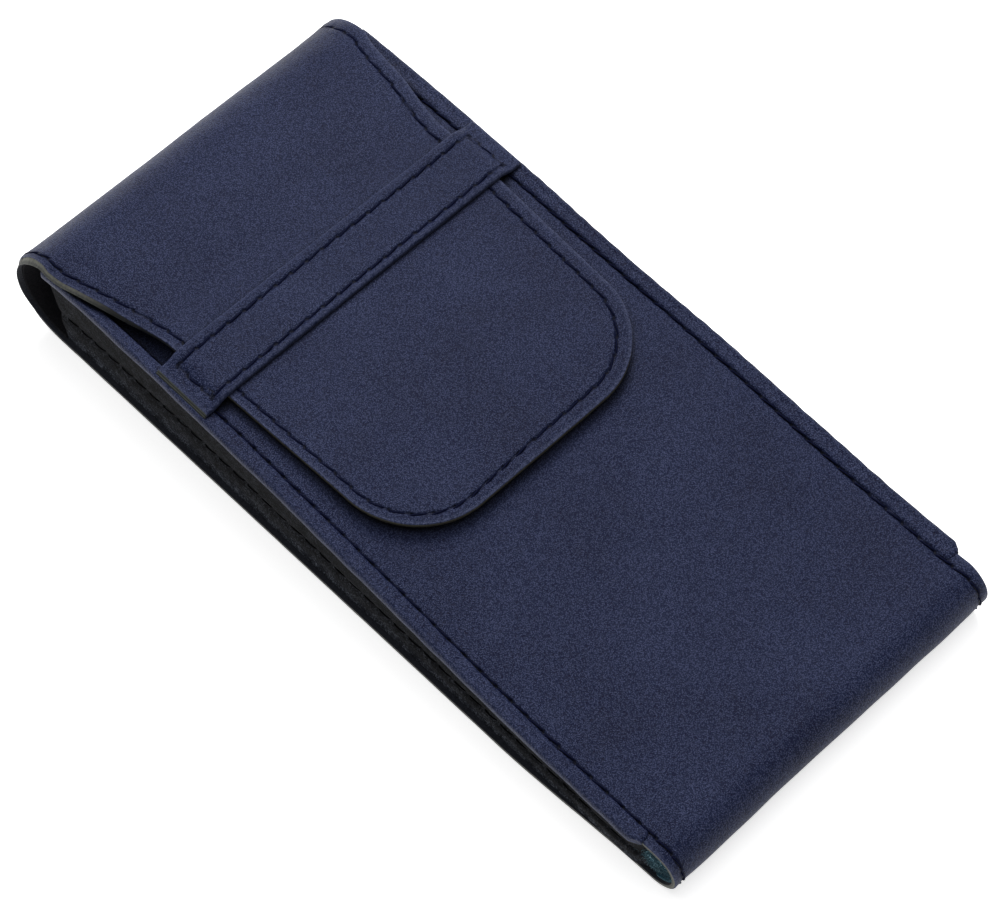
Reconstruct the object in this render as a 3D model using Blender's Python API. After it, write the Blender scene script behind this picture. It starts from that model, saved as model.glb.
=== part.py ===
"""Brush pouch of folded leather with a tuck-in flap.

Frame: origin under the middle of the back panel, +X to the right, +Y towards the rolled top fold,
+Z up out of the front. The case lies on its back. All lengths are in metres.

One leather strip runs from the mouth down the front, round the bottom fold, along the back, round
the top fold and down again as the flap and its tongue. The top fold is cut into two parts, hinged on
the outer skin of the leather, so that it can unroll.
"""

import math

import bmesh
import bpy

for stale in list(bpy.data.objects):
    bpy.data.objects.remove(stale, do_unlink=True)

# ---------------------------------------------------------------- sizes
LENGTH = 0.200            # over the threads at both folds
HALF_W = 0.0474           # half width of the back, the fold and the hems
LEATHER = 0.0012          # outer leather
LINING = 0.0006           # velour and facing
GAP = 0.0001              # between pieces that lie on each other
THREAD_W = 0.0005
THREAD_H = 0.00027
THREAD_LIFT = 0.00003

BOTTOM_R = 0.0067         # bottom fold, outer radius
BOTTOM_Y = -(LENGTH / 2 - THREAD_H - THREAD_LIFT) + BOTTOM_R
FOLD_Y = 0.0860           # where the top fold starts and ends
FOLD_A = LENGTH / 2 - THREAD_H - THREAD_LIFT - FOLD_Y
FOLD_TOP = 0.0290         # height over the top of the fold
FOLD_B = FOLD_TOP / 2
HINGE_GAP = 0.00005

FRONT_LOW = 2 * BOTTOM_R  # front skin above the bottom fold
FRONT_HIGH = 0.0248       # front skin where it is highest
FRONT_HIGH_Y = 0.062
FRONT_DROOP = 0.0010      # how far the mouth edge sinks again
MOUTH_Y = 0.0900

HEM_W = 0.0035
HEM_IN = HALF_W - HEM_W   # inner side of the hem
HEM_UP = 0.0006
HEM_DOWN = 0.0017
HEM_END_Y = -0.0906
LEAF_HALF_W = HEM_IN - 0.0001
BOTTOM_HALF_W = 0.0460

GUSSET_X = 0.0454
GUSSET_T = 0.0010
GUSSET_LOW_Y = -0.0890
GUSSET_HIGH_Y = 0.0856
GUSSET_LEAN = 0.0038      # the mouth end leans out towards the hem's corner

STRAP_LOW_Y = 0.0370
STRAP_HIGH_Y = 0.0523
STRAP_T = 0.0013
STRAP_ROLL = 0.00035
STRAP_HALF = 0.0463
STRAP_STITCH_LOW = 0.0388
STRAP_STITCH_HIGH = 0.0497
STRAP_STITCH_X = 0.0428

FLAP_SPLIT_Y = 0.0534     # flap above, tongue below
FLAP_HALF_STRAP = 0.0404
TONGUE_TIP_Y = -0.0167
TONGUE_CORNER = 0.0200
TONGUE_HALF_LOW = 0.0382
FLAP_STACK = GAP + LINING + GAP / 2 + LEATHER   # front skin to the top of the flap
SEAM_INSET = 0.0035


# ---------------------------------------------------------------- small maths
def ease(u):
    u = min(1.0, max(0.0, u))
    return 0.5 - 0.5 * math.cos(math.pi * u)


def front_z(y):
    """Height of the front panel's skin: thin at the bottom fold, full from the strap up."""
    z = FRONT_LOW + (FRONT_HIGH - FRONT_LOW) * ease((y - BOTTOM_Y) / (FRONT_HIGH_Y - BOTTOM_Y))
    if y > FRONT_HIGH_Y:
        z -= FRONT_DROOP * ((y - FRONT_HIGH_Y) / (MOUTH_Y - FRONT_HIGH_Y)) ** 2
    return z


def spread(a, b, n):
    return [a + (b - a) * i / (n - 1) for i in range(n)]


def flap_z(y):
    """Height of the flap's skin, from under the strap up to the top of the fold."""
    low = front_z(FLAP_SPLIT_Y) + FLAP_STACK
    if y <= FLAP_SPLIT_Y:
        return front_z(y) + FLAP_STACK
    return low + (FOLD_TOP - low) * ease((y - FLAP_SPLIT_Y) / (FOLD_Y - FLAP_SPLIT_Y))


def flap_half(y):
    """Half width of the flap: full at the fold, drawn in towards the strap."""
    if y >= FLAP_SPLIT_Y:
        return FLAP_HALF_STRAP + (HALF_W - FLAP_HALF_STRAP) * (
            1 - math.cos(0.5 * math.pi * min(1.0, (y - FLAP_SPLIT_Y) / (FOLD_Y - FLAP_SPLIT_Y)))
        ) ** 0.9
    corner_y = TONGUE_TIP_Y + TONGUE_CORNER
    if y >= corner_y:
        return TONGUE_HALF_LOW + (FLAP_HALF_STRAP - TONGUE_HALF_LOW) * (y - corner_y) / (
            FLAP_SPLIT_Y - corner_y
        )
    d = min(1.0, (corner_y - y) / TONGUE_CORNER)
    return TONGUE_HALF_LOW - TONGUE_CORNER * (1 - math.sqrt(max(0.0, 1 - d * d)))


def normals(path):
    """Unit normals to the left of a path of (y, z) points."""
    out = []
    for i in range(len(path)):
        a = path[max(0, i - 1)]
        b = path[min(len(path) - 1, i + 1)]
        dy, dz = b[0] - a[0], b[1] - a[1]
        length = math.hypot(dy, dz)
        out.append((-dz / length, dy / length))
    return out


def shift(path, d, side=None):
    """The path moved by d along its left normals (side overrides the normals)."""
    use = side or normals(path)
    return [(p[0] + d * n[0], p[1] + d * n[1]) for p, n in zip(path, use)]


# ---------------------------------------------------------------- materials
def material(name, color, rough):
    mat = bpy.data.materials.new(name)
    mat.use_nodes = True
    bsdf = mat.node_tree.nodes["Principled BSDF"]
    bsdf.inputs["Base Color"].default_value = (*color, 1.0)
    bsdf.inputs["Roughness"].default_value = rough
    mat.diffuse_color = (*color, 1.0)
    return mat


NAVY = (0.030, 0.036, 0.072)
CHARCOAL = (0.012, 0.012, 0.017)
TEAL = (0.020, 0.130, 0.190)
THREAD = (0.008, 0.012, 0.045)


# ---------------------------------------------------------------- mesh builder
def loft(name, loops, color, rough, origin=(0.0, 0.0, 0.0), ring=False, smooth=True):
    """One closed body through loops of points, each loop with the same count.

    A ring joins the last loop to the first. Otherwise both ends are capped.
    """
    bm = bmesh.new()
    ox, oy, oz = origin
    rows = [[bm.verts.new((x - ox, y - oy, z - oz)) for x, y, z in loop] for loop in loops]
    n = len(rows[0])
    pairs = list(zip(rows[:-1], rows[1:]))
    if ring:
        pairs.append((rows[-1], rows[0]))
    for a, b in pairs:
        for i in range(n):
            j = (i + 1) % n
            bm.faces.new((a[i], a[j], b[j], b[i]))
    if not ring:
        bm.faces.new(rows[0])
        bm.faces.new(list(reversed(rows[-1])))
    bmesh.ops.recalc_face_normals(bm, faces=bm.faces)
    if bm.calc_volume(signed=True) < 0:
        bmesh.ops.reverse_faces(bm, faces=bm.faces)
    mesh = bpy.data.meshes.new(name)
    bm.to_mesh(mesh)
    bm.free()
    for poly in mesh.polygons:
        poly.use_smooth = smooth
    obj = bpy.data.objects.new(name, mesh)
    obj.location = origin
    bpy.context.scene.collection.objects.link(obj)
    mesh.materials.append(material(name, color, rough))
    return obj


def strip(name, outer, inner, half, color, rough, origin=(0.0, 0.0, 0.0)):
    """A band across X between two paths of (y, z) points, with small chamfers on its long edges."""
    loops = []
    for (oy, oz), (iy, iz), w in zip(outer, inner, half):
        c = 0.28 * math.hypot(oy - iy, oz - iz)
        t = math.hypot(oy - iy, oz - iz)
        uy, uz = (iy - oy) / t, (iz - oz) / t
        a = (oy + uy * c, oz + uz * c)
        b = (iy - uy * c, iz - uz * c)
        loops.append([
            (-w + c, oy, oz), (w - c, oy, oz), (w, a[0], a[1]), (w, b[0], b[1]),
            (w - c, iy, iz), (-w + c, iy, iz), (-w, b[0], b[1]), (-w, a[0], a[1]),
        ])
    return loft(name, loops, color, rough, origin)


def thread(name, points, ups, origin=(0.0, 0.0, 0.0), ring=False):
    """A flat-bottomed thread through 3-D points; ups are the unit directions off the leather."""
    loops = []
    n = len(points)
    for i in range(n):
        a = points[i - 1] if (ring or i > 0) else points[i]
        b = points[(i + 1) % n] if (ring or i < n - 1) else points[i]
        t = [b[k] - a[k] for k in range(3)]
        length = math.sqrt(sum(v * v for v in t))
        t = [v / length for v in t]
        u = ups[i]
        s = (t[1] * u[2] - t[2] * u[1], t[2] * u[0] - t[0] * u[2], t[0] * u[1] - t[1] * u[0])
        sl = math.sqrt(sum(v * v for v in s))
        s = [v / sl for v in s]
        p = points[i]
        loop = []
        for across, up in ((-0.5, 0.0), (-0.38, 0.75), (0.0, 1.0), (0.38, 0.75), (0.5, 0.0)):
            lift = THREAD_LIFT + up * THREAD_H
            loop.append(tuple(p[k] + s[k] * across * THREAD_W + u[k] * lift for k in range(3)))
        loops.append(loop)
    return loft(name, loops, THREAD, 0.6, origin, ring)


# ---------------------------------------------------------------- the strip of the case
front_ys = spread(MOUTH_Y, HEM_END_Y, 30) + [HEM_END_Y - 0.0003, -0.0920]
front_path = [(y, front_z(y)) for y in front_ys]
bottom_path = [
    (BOTTOM_Y - BOTTOM_R * math.sin(a), BOTTOM_R + BOTTOM_R * math.cos(a))
    for a in spread(0.0, math.pi, 17)
]
back_ys = [-0.0905, -0.0895, -0.060, -0.020, 0.020, 0.060, FOLD_Y - HINGE_GAP]
back_path = [(y, 0.0) for y in back_ys]
skin = front_path + bottom_path + back_path
# the path runs front, bottom, back, so the inside of the pouch is on its left
inward = normals(skin)
for k in range(len(front_path) + len(bottom_path), len(skin)):
    inward[k] = (0.0, 1.0)


def case_half(index):
    y = skin[index][0]
    if index < 30:
        return LEAF_HALF_W
    if index < len(front_path) + len(bottom_path):
        return BOTTOM_HALF_W
    if y < -0.0900:
        return BOTTOM_HALF_W + 0.0004
    return HALF_W


halves = [case_half(i) for i in range(len(skin))]
strip("outer_leather", skin, shift(skin, LEATHER, inward), halves, NAVY, 0.5)

lining_halves = []
for i, (y, z) in enumerate(skin):
    if i < 30:
        lining_halves.append(LEAF_HALF_W - 0.0004)
    elif i < len(front_path) + len(bottom_path):
        lining_halves.append(BOTTOM_HALF_W - 0.0012)
    else:
        lining_halves.append(GUSSET_X - 0.0004)
trim = slice(1, len(skin))
strip(
    "velour_lining",
    shift(skin, LEATHER + GAP, inward)[trim],
    shift(skin, LEATHER + GAP + LINING, inward)[trim],
    lining_halves[trim], TEAL, 0.95,
)

# ---------------------------------------------------------------- hems
for side, label in ((-1, "left"), (1, "right")):
    loops = []
    for y in spread(MOUTH_Y, HEM_END_Y + 0.0001, 30):
        z = front_z(y)
        top, low = z + HEM_UP, z - HEM_DOWN
        mid = 0.5 * (top + low)
        half_t = 0.5 * (top - low)
        loop = [(side * HEM_IN, y, low + 0.0002), (side * HEM_IN, y, z - 0.0001),
                (side * (HEM_IN + 0.0006), y, top - 0.00015)]
        for k in range(7):
            a = math.pi / 2 - math.pi * k / 6
            loop.append((side * (HALF_W - half_t + half_t * math.cos(a)), y, mid + half_t * math.sin(a)))
        loops.append(loop)
    loft(f"hem_{label}", loops, NAVY, 0.5)

# ---------------------------------------------------------------- gussets
for side, label in ((-1, "left"), (1, "right")):
    loops = []
    for y in spread(GUSSET_LOW_Y, GUSSET_HIGH_Y, 22):
        low = LEATHER + GAP
        lean = GUSSET_LEAN * ((y - GUSSET_LOW_Y) / (GUSSET_HIGH_Y - GUSSET_LOW_Y)) ** 6
        high = front_z(y + lean) - HEM_DOWN - GAP
        rows = 6
        inner, outer = [], []
        for k in range(rows):
            v = k / (rows - 1)
            z = low + (high - low) * v
            bow = 0.0004 * math.sin(math.pi * v)
            inner.append((side * (GUSSET_X - bow), y + lean * v, z))
            outer.append((side * (GUSSET_X + GUSSET_T - bow), y + lean * v, z))
        loops.append(inner + outer[::-1])
    loft(f"gusset_{label}", loops, CHARCOAL, 0.95)

# ---------------------------------------------------------------- strap
HEM_SEAT = HEM_UP + GAP
FLAP_SEAT = FLAP_STACK + GAP


def strap_seat(x):
    """How far the strap's underside stands off the front skin."""
    u = (abs(x) - (FLAP_HALF_STRAP + 0.0006)) / 0.0022
    return FLAP_SEAT + (HEM_SEAT - FLAP_SEAT) * ease(u)


def strap_top(y):
    d_low, d_high = y - STRAP_LOW_Y, STRAP_HIGH_Y - y
    roll = math.exp(-(((d_low - 0.0008) / 0.0006) ** 2)) + math.exp(-(((d_high - 0.0011) / 0.0008) ** 2))
    return STRAP_T + STRAP_ROLL * roll


strap_ys = ([STRAP_LOW_Y + v for v in (0.0, 0.0004, 0.0009, 0.0014, 0.0018, 0.0023)]
            + spread(STRAP_LOW_Y + 0.0045, STRAP_HIGH_Y - 0.0048, 3)
            + [STRAP_HIGH_Y - v for v in (0.0030, 0.0026, 0.0018, 0.0012, 0.0005, 0.0)])
strap_steps = [0.0408, 0.0412, 0.0416, 0.0420, 0.0424, STRAP_STITCH_X, 0.0433, 0.0440, 0.0452, STRAP_HALF]
xs = [-x for x in reversed(strap_steps)] + spread(-0.030, 0.030, 5) + strap_steps
loops = []
for x in xs:
    seat = strap_seat(x)
    under = [(x, y, front_z(y) + seat) for y in (STRAP_LOW_Y + 0.0004, 0.0415, 0.0480, STRAP_HIGH_Y - 0.0004)]
    over = []
    for y in reversed(strap_ys):
        rounded = 0.0
        edge = min(y - STRAP_LOW_Y, STRAP_HIGH_Y - y)
        if edge < 0.0005:
            rounded = 0.0006 * (1 - edge / 0.0005)
        over.append((x, y, front_z(y) + seat + strap_top(y) - rounded))
    loops.append(under + over)
loft("strap", loops, NAVY, 0.5)

ring_pts, ring_ups = [], []
corner = 0.0006


def strap_skin(x, y):
    return front_z(y) + strap_seat(x) + strap_top(y)


def strap_point(x, y):
    e = 0.0003
    gx = (strap_skin(x + e, y) - strap_skin(x - e, y)) / (2 * e)
    gy = (strap_skin(x, y + e) - strap_skin(x, y - e)) / (2 * e)
    n = math.sqrt(1 + gx * gx + gy * gy)
    ring_pts.append((x, y, strap_skin(x, y) + 2 * THREAD_LIFT))
    ring_ups.append((-gx / n, -gy / n, 1 / n))


def seam_xs(a, b):
    sign = 1 if b > a else -1
    edge = [x for x in strap_steps if x <= 0.0424][::-1]
    inner = spread(-0.030, 0.030, 5)
    line = [-e for e in edge] + inner + edge[::-1]
    return line if sign > 0 else line[::-1]


for x in seam_xs(-1, 1):
    strap_point(x, STRAP_STITCH_LOW)
for y in spread(STRAP_STITCH_LOW + corner, STRAP_STITCH_HIGH - corner, 6):
    strap_point(STRAP_STITCH_X, y)
for x in seam_xs(1, -1):
    strap_point(x, STRAP_STITCH_HIGH)
for y in spread(STRAP_STITCH_HIGH - corner, STRAP_STITCH_LOW + corner, 6):
    strap_point(-STRAP_STITCH_X, y)
thread("strap_seam", ring_pts, ring_ups, ring=True)

# ---------------------------------------------------------------- front seams, on round the bottom fold
seam_skin = [(y, front_z(y)) for y in spread(STRAP_LOW_Y - 0.0006, -0.0925, 26)]
seam_skin += [
    (BOTTOM_Y - BOTTOM_R * math.sin(a), BOTTOM_R + BOTTOM_R * math.cos(a))
    for a in spread(math.pi / 16, math.pi * 0.80, 12)
]
seam_in = normals(seam_skin)
for side, label in ((-1, "left"), (1, "right")):
    pts = [(side * (HEM_IN - 0.0006), y, z) for y, z in seam_skin]
    ups = [(0.0, -n[0], -n[1]) for n in seam_in]
    thread(f"front_seam_{label}", pts, ups)

# ---------------------------------------------------------------- top fold, in two hinged parts
def fold_point(a):
    """Skin of the top fold; a runs from 0 at the back to pi at the flap."""
    return (FOLD_Y + FOLD_A * math.sin(a), FOLD_B - FOLD_B * math.cos(a))


def fold_inward(a):
    ny, nz = math.sin(a) / FOLD_A, -math.cos(a) / FOLD_B
    length = math.hypot(ny, nz)
    return (-ny / length, -nz / length)


HINGES = {
    "fold_lower": (0.0, FOLD_Y, 0.0),
    "fold_upper": (0.0, FOLD_Y + FOLD_A, FOLD_B),
    "flap": (0.0, FOLD_Y, FOLD_TOP),
}
EDGE = HINGE_GAP / FOLD_B

for label, lo, hi in (
    ("fold_lower", 0.0 + EDGE, math.pi / 2 - EDGE),
    ("fold_upper", math.pi / 2 + EDGE, math.pi - EDGE),
):
    origin = HINGES[label]
    angles = spread(lo, hi, 12)
    out = [fold_point(a) for a in angles]
    side_n = [fold_inward(a) for a in angles]
    strip(f"{label}_leather", out, shift(out, LEATHER, side_n), [HALF_W] * len(out), NAVY, 0.5, origin)
    strip(
        f"{label}_facing",
        shift(out, LEATHER + GAP / 2, side_n),
        shift(out, LEATHER + GAP / 2 + LINING, side_n),
        [HALF_W - 0.0004] * len(out), CHARCOAL, 0.9, origin,
    )
    first = 0.35 if label == "fold_lower" else lo + 0.040
    last = hi - 0.040
    for side, tag in ((-1, "left"), (1, "right")):
        seam_angles = spread(first, last, 11)
        pts, ups = [], []
        for a in seam_angles:
            y, z = fold_point(a)
            n = fold_inward(a)
            pts.append((side * (HALF_W - SEAM_INSET), y, z))
            ups.append((0.0, -n[0], -n[1]))
        thread(f"{label}_seam_{tag}", pts, ups, origin)

# ---------------------------------------------------------------- flap
origin = HINGES["flap"]
flap_ys = spread(FOLD_Y - HINGE_GAP, FLAP_SPLIT_Y + 0.0001, 16)
out = [(y, flap_z(y)) for y in flap_ys]
side_n = normals(out)
side_n[0] = (0.0, -1.0)
flap_halves = [flap_half(y) for y in flap_ys]
strip("flap_leather", out, shift(out, LEATHER, side_n), flap_halves, NAVY, 0.5, origin)
strip(
    "flap_facing",
    shift(out, LEATHER + GAP / 2, side_n),
    shift(out, LEATHER + GAP / 2 + LINING, side_n),
    [h - 0.0004 for h in flap_halves], CHARCOAL, 0.9, origin,
)
seam_ys = spread(FOLD_Y - 0.0005, FLAP_SPLIT_Y + 0.0005, 14)
seam_path = [(y, flap_z(y)) for y in seam_ys]
seam_n = normals(seam_path)
for side, tag in ((-1, "left"), (1, "right")):
    pts = [(side * (flap_half(y) - SEAM_INSET), y, z) for y, z in seam_path]
    ups = [(0.0, -n[0], -n[1]) for n in seam_n]
    thread(f"flap_seam_{tag}", pts, ups, origin)

# ---------------------------------------------------------------- tongue
corner_y = TONGUE_TIP_Y + TONGUE_CORNER
tongue_ys = spread(FLAP_SPLIT_Y, corner_y, 14)
tongue_ys += [corner_y - TONGUE_CORNER * math.sin(a) for a in spread(0.15, math.pi / 2 - 0.02, 12)]
out = [(y, flap_z(y)) for y in tongue_ys]
side_n = normals(out)
tongue_halves = [flap_half(y) for y in tongue_ys]
strip("tongue_leather", out, shift(out, LEATHER, side_n), tongue_halves, NAVY, 0.5, origin)
strip(
    "tongue_facing",
    shift(out, LEATHER + GAP / 2, side_n)[:-1],
    shift(out, LEATHER + GAP / 2 + LINING, side_n)[:-1],
    [h - 0.0005 for h in tongue_halves][:-1], CHARCOAL, 0.9, origin,
)
# the seam follows the tongue's outline, a little inside it
inner_corner = TONGUE_CORNER - SEAM_INSET
start_y = STRAP_LOW_Y - 0.0006
pts, ups = [], []
right = [(flap_half(y) - SEAM_INSET, y) for y in spread(start_y, corner_y + 0.001, 12)]
cx = TONGUE_HALF_LOW - TONGUE_CORNER
right += [
    (cx + inner_corner * math.cos(a), corner_y - inner_corner * math.sin(a))
    for a in spread(0.0, math.pi / 2, 12)
]
outline = [(-x, y) for x, y in right] + [(x, y) for x, y in reversed(right)]
for x, y in outline:
    slope = (flap_z(y + 0.001) - flap_z(y - 0.001)) / 0.002
    n = math.hypot(1.0, slope)
    pts.append((x, y, flap_z(y)))
    ups.append((0.0, -slope / n, 1.0 / n))
thread("tongue_seam", pts, ups, origin)
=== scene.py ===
"""Looks for the leather brush pouch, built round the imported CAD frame. Metres, CAD frame."""

import math

import bpy
import numpy as np
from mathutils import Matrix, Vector


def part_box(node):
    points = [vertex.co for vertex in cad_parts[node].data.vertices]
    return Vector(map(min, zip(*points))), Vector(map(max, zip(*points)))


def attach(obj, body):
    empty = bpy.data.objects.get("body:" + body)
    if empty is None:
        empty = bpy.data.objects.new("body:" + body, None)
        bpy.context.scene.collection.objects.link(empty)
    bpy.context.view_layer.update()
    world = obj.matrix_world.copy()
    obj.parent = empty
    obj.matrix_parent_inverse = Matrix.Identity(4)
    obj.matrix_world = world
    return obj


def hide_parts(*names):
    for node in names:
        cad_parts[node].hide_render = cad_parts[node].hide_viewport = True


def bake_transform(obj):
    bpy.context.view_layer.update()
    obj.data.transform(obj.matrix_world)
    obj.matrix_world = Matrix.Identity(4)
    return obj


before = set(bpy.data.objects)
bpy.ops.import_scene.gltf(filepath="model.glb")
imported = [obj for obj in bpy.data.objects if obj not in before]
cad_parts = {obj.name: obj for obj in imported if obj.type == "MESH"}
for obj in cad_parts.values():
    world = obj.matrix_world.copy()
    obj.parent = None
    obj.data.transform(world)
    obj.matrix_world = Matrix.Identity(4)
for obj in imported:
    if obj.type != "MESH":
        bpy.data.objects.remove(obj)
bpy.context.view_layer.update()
MM = 0.001


# ------------------------------------------------------------------ sizes read from the frame
def lo(node):
    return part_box(node)[0]


def hi(node):
    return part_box(node)[1]


HALF_W = hi("fold_upper_leather").x
LEATHER = 1.2 * MM
LINING = 0.6 * MM
FOLD_TOP = hi("fold_upper_leather").z
FOLD_B = FOLD_TOP / 2
FOLD_Y = lo("fold_lower_leather").y - 0.0
FOLD_Y = round(FOLD_Y, 4)
FOLD_A = hi("fold_upper_leather").y - FOLD_Y
MOUTH_Y = hi("outer_leather").y
BOTTOM_END = lo("outer_leather").y
BOTTOM_R = 6.7 * MM
BOTTOM_Y = BOTTOM_END + BOTTOM_R
FRONT_LOW = 2 * BOTTOM_R
FRONT_HIGH = hi("outer_leather").z
FRONT_HIGH_Y = 62 * MM
FRONT_DROOP = 1.0 * MM
HEM_IN = lo("hem_right").x
HEM_END_Y = lo("hem_right").y
LEAF_HALF_W = HEM_IN - 0.1 * MM
BOTTOM_HALF_W = 46.0 * MM
GUSSET_OUT = hi("gusset_right").x
GUSSET_LOW_Y = lo("gusset_right").y
GUSSET_HIGH_Y = 85.6 * MM
STRAP_LOW_Y = lo("strap").y
STRAP_HIGH_Y = hi("strap").y
STRAP_HALF = hi("strap").x
FLAP_SPLIT_Y = lo("flap_leather").y
FLAP_HALF_STRAP = 40.4 * MM
TONGUE_TIP_Y = lo("tongue_leather").y
TONGUE_CORNER = 20.0 * MM
TONGUE_HALF_LOW = 38.2 * MM
FLAP_STACK = 0.15 * MM + LINING + LEATHER
SEAM_INSET = 3.3 * MM
PITCH = 4.5 * MM
SLANT = 0.27                      # mm a stitch leans to each side of its line


# ------------------------------------------------------------------ shapes
def ease(u):
    return 0.5 - 0.5 * np.cos(np.pi * np.clip(u, 0, 1))


def sstep(a, b, x):
    t = np.clip((x - a) / (b - a), 0, 1)
    return t * t * (3 - 2 * t)


def front_z(y):
    y = np.asarray(y, float)
    z = FRONT_LOW + (FRONT_HIGH - FRONT_LOW) * ease((y - BOTTOM_Y) / (FRONT_HIGH_Y - BOTTOM_Y))
    d = np.clip((y - FRONT_HIGH_Y) / (90 * MM - FRONT_HIGH_Y), 0, None)
    return z - FRONT_DROOP * d * d


def flap_z(y):
    y = np.asarray(y, float)
    low = front_z(FLAP_SPLIT_Y) + FLAP_STACK
    up = low + (FOLD_TOP - low) * ease((y - FLAP_SPLIT_Y) / (FOLD_Y - FLAP_SPLIT_Y))
    return np.where(y <= FLAP_SPLIT_Y, front_z(y) + FLAP_STACK, up)


def flap_half(y):
    y = np.asarray(y, float)
    u = np.clip((y - FLAP_SPLIT_Y) / (FOLD_Y - FLAP_SPLIT_Y), 0, 1)
    up = FLAP_HALF_STRAP + (HALF_W - FLAP_HALF_STRAP) * (1 - np.cos(0.5 * np.pi * u)) ** 0.9
    cy = TONGUE_TIP_Y + TONGUE_CORNER
    low = TONGUE_HALF_LOW + (FLAP_HALF_STRAP - TONGUE_HALF_LOW) * (y - cy) / (FLAP_SPLIT_Y - cy)
    return np.where(y >= FLAP_SPLIT_Y, up, low)


def fold_point(a):
    a = np.asarray(a, float)
    return FOLD_Y + FOLD_A * np.sin(a), FOLD_B - FOLD_B * np.cos(a)


def fold_out(a):
    a = np.asarray(a, float)
    ny, nz = np.sin(a) / FOLD_A, -np.cos(a) / FOLD_B
    n = np.hypot(ny, nz)
    return ny / n, nz / n


def wob(x, y, wavelength, seed):
    """Smooth repeatable unevenness, about -1 to 1; x, y and wavelength in metres."""
    r = np.random.default_rng(seed)
    out = np.zeros(np.broadcast(x, y).shape)
    for _ in range(7):
        a = r.uniform(0, 2 * math.pi)
        k = 2 * math.pi / (wavelength * r.uniform(0.7, 1.6))
        out = out + np.sin(k * (x * math.cos(a) + y * math.sin(a)) + r.uniform(0, 2 * math.pi))
    return out / 3.2


def stitch_pull(d, s, phase, deep=0.17 * MM, hole=0.18 * MM, width=0.33 * MM):
    """How far a row of stitches pulls leather down: d across the row, s along it."""
    h = (0.5 + 0.5 * np.cos(2 * np.pi * (s - phase - PITCH / 2) / PITCH)) ** 4
    g = -(deep + hole * h) * np.exp(-((d / width) ** 2))
    puff = 0.07 * MM * (1 - h) * np.exp(-(((np.abs(d) - 1.15 * MM) / (0.75 * MM)) ** 2))
    return g + puff


def edge_round(d, r=0.28 * MM):
    """Drop of a surface next to its cut edge, d from the edge."""
    t = np.clip(r - d, 0, r)
    return -(r - np.sqrt(np.maximum(r * r - t * t, 0)))


def left_bevel(x, y, z, d):
    """How far the cut edge on the left of the fold and flap slants, 0 to 1; d is the distance from the edge."""
    on = np.where(z > FOLD_B, sstep(57 * MM, 74 * MM, y), 1.0) * sstep(2.5 * MM, 12 * MM, z)
    return on * (x < 0) * np.clip(1 - d / (1.8 * MM), 0, 1)


def arc_len(p):
    return np.concatenate([[0], np.cumsum(np.linalg.norm(np.diff(p, axis=0), axis=1))])


# arc lengths over the strip from the hinge at the back, so that the stitches run on evenly
fold_a = np.linspace(0, math.pi, 400)
fpy, fpz = fold_point(fold_a)
FOLD_S = np.concatenate([[0], np.cumsum(np.hypot(np.diff(fpy), np.diff(fpz)))])
FOLD_LEN = FOLD_S[-1]
FLAP_TOP_Y = 66.0 * MM
FLAP_S0 = FOLD_LEN + (FOLD_Y - FLAP_TOP_Y) + 0.3 * MM


def half_outline(inset=0.0):
    """Right half of the flap's outline from its top to the middle of the tip: points, inward normals, corner index."""
    cy = TONGUE_TIP_Y + TONGUE_CORNER
    cx = TONGUE_HALF_LOW - TONGUE_CORNER
    ys = np.arange(FLAP_TOP_Y, cy, -0.55 * MM)
    side_pts = np.stack([flap_half(ys), ys], -1)
    a = np.linspace(0, math.pi / 2, 58)
    corner = np.stack([cx + TONGUE_CORNER * np.cos(a), cy - TONGUE_CORNER * np.sin(a)], -1)
    bx = np.arange(cx - 0.6 * MM, -1e-9, -0.6 * MM)
    bx = np.append(bx[bx > 0.2 * MM], 0.0)
    bot = np.stack([bx, np.full(len(bx), TONGUE_TIP_Y)], -1)
    pts = np.concatenate([side_pts, corner, bot])
    # the tip bows out a very little in its middle
    pts[:, 1] -= 0.25 * MM * np.where(pts[:, 1] < cy, np.cos(0.5 * np.pi * np.clip(pts[:, 0] / (34 * MM), 0, 1)), 0)
    m = len(side_pts) + 29
    d = np.gradient(pts, axis=0)
    d /= np.linalg.norm(d, axis=1)[:, None]
    n = np.stack([d[:, 1], -d[:, 0]], -1)            # down the right side: inward is -X
    n[-1] = (0, 1)
    k = sstep(FLAP_TOP_Y - 5 * MM, FLAP_TOP_Y, pts[:, 1])[:, None]
    n = n * (1 - k) + np.array([-1.0, 0.0]) * k
    n /= np.linalg.norm(n, axis=1)[:, None]
    pts = pts + n * inset
    return pts, n, m


def inset_at(x):
    """Distance of the seam from the cut edge: a little closer on the left side."""
    left = sstep(5 * MM, -28 * MM, x)
    return SEAM_INSET - 0.95 * MM * left


hp_, hn_, _m = half_outline()
S_TIP = FLAP_S0 + arc_len(hp_ + hn_ * SEAM_INSET)[-1]
FLAP_PHASE = (S_TIP - PITCH / 2) % PITCH           # a needle hole falls on the middle of the tip


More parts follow.
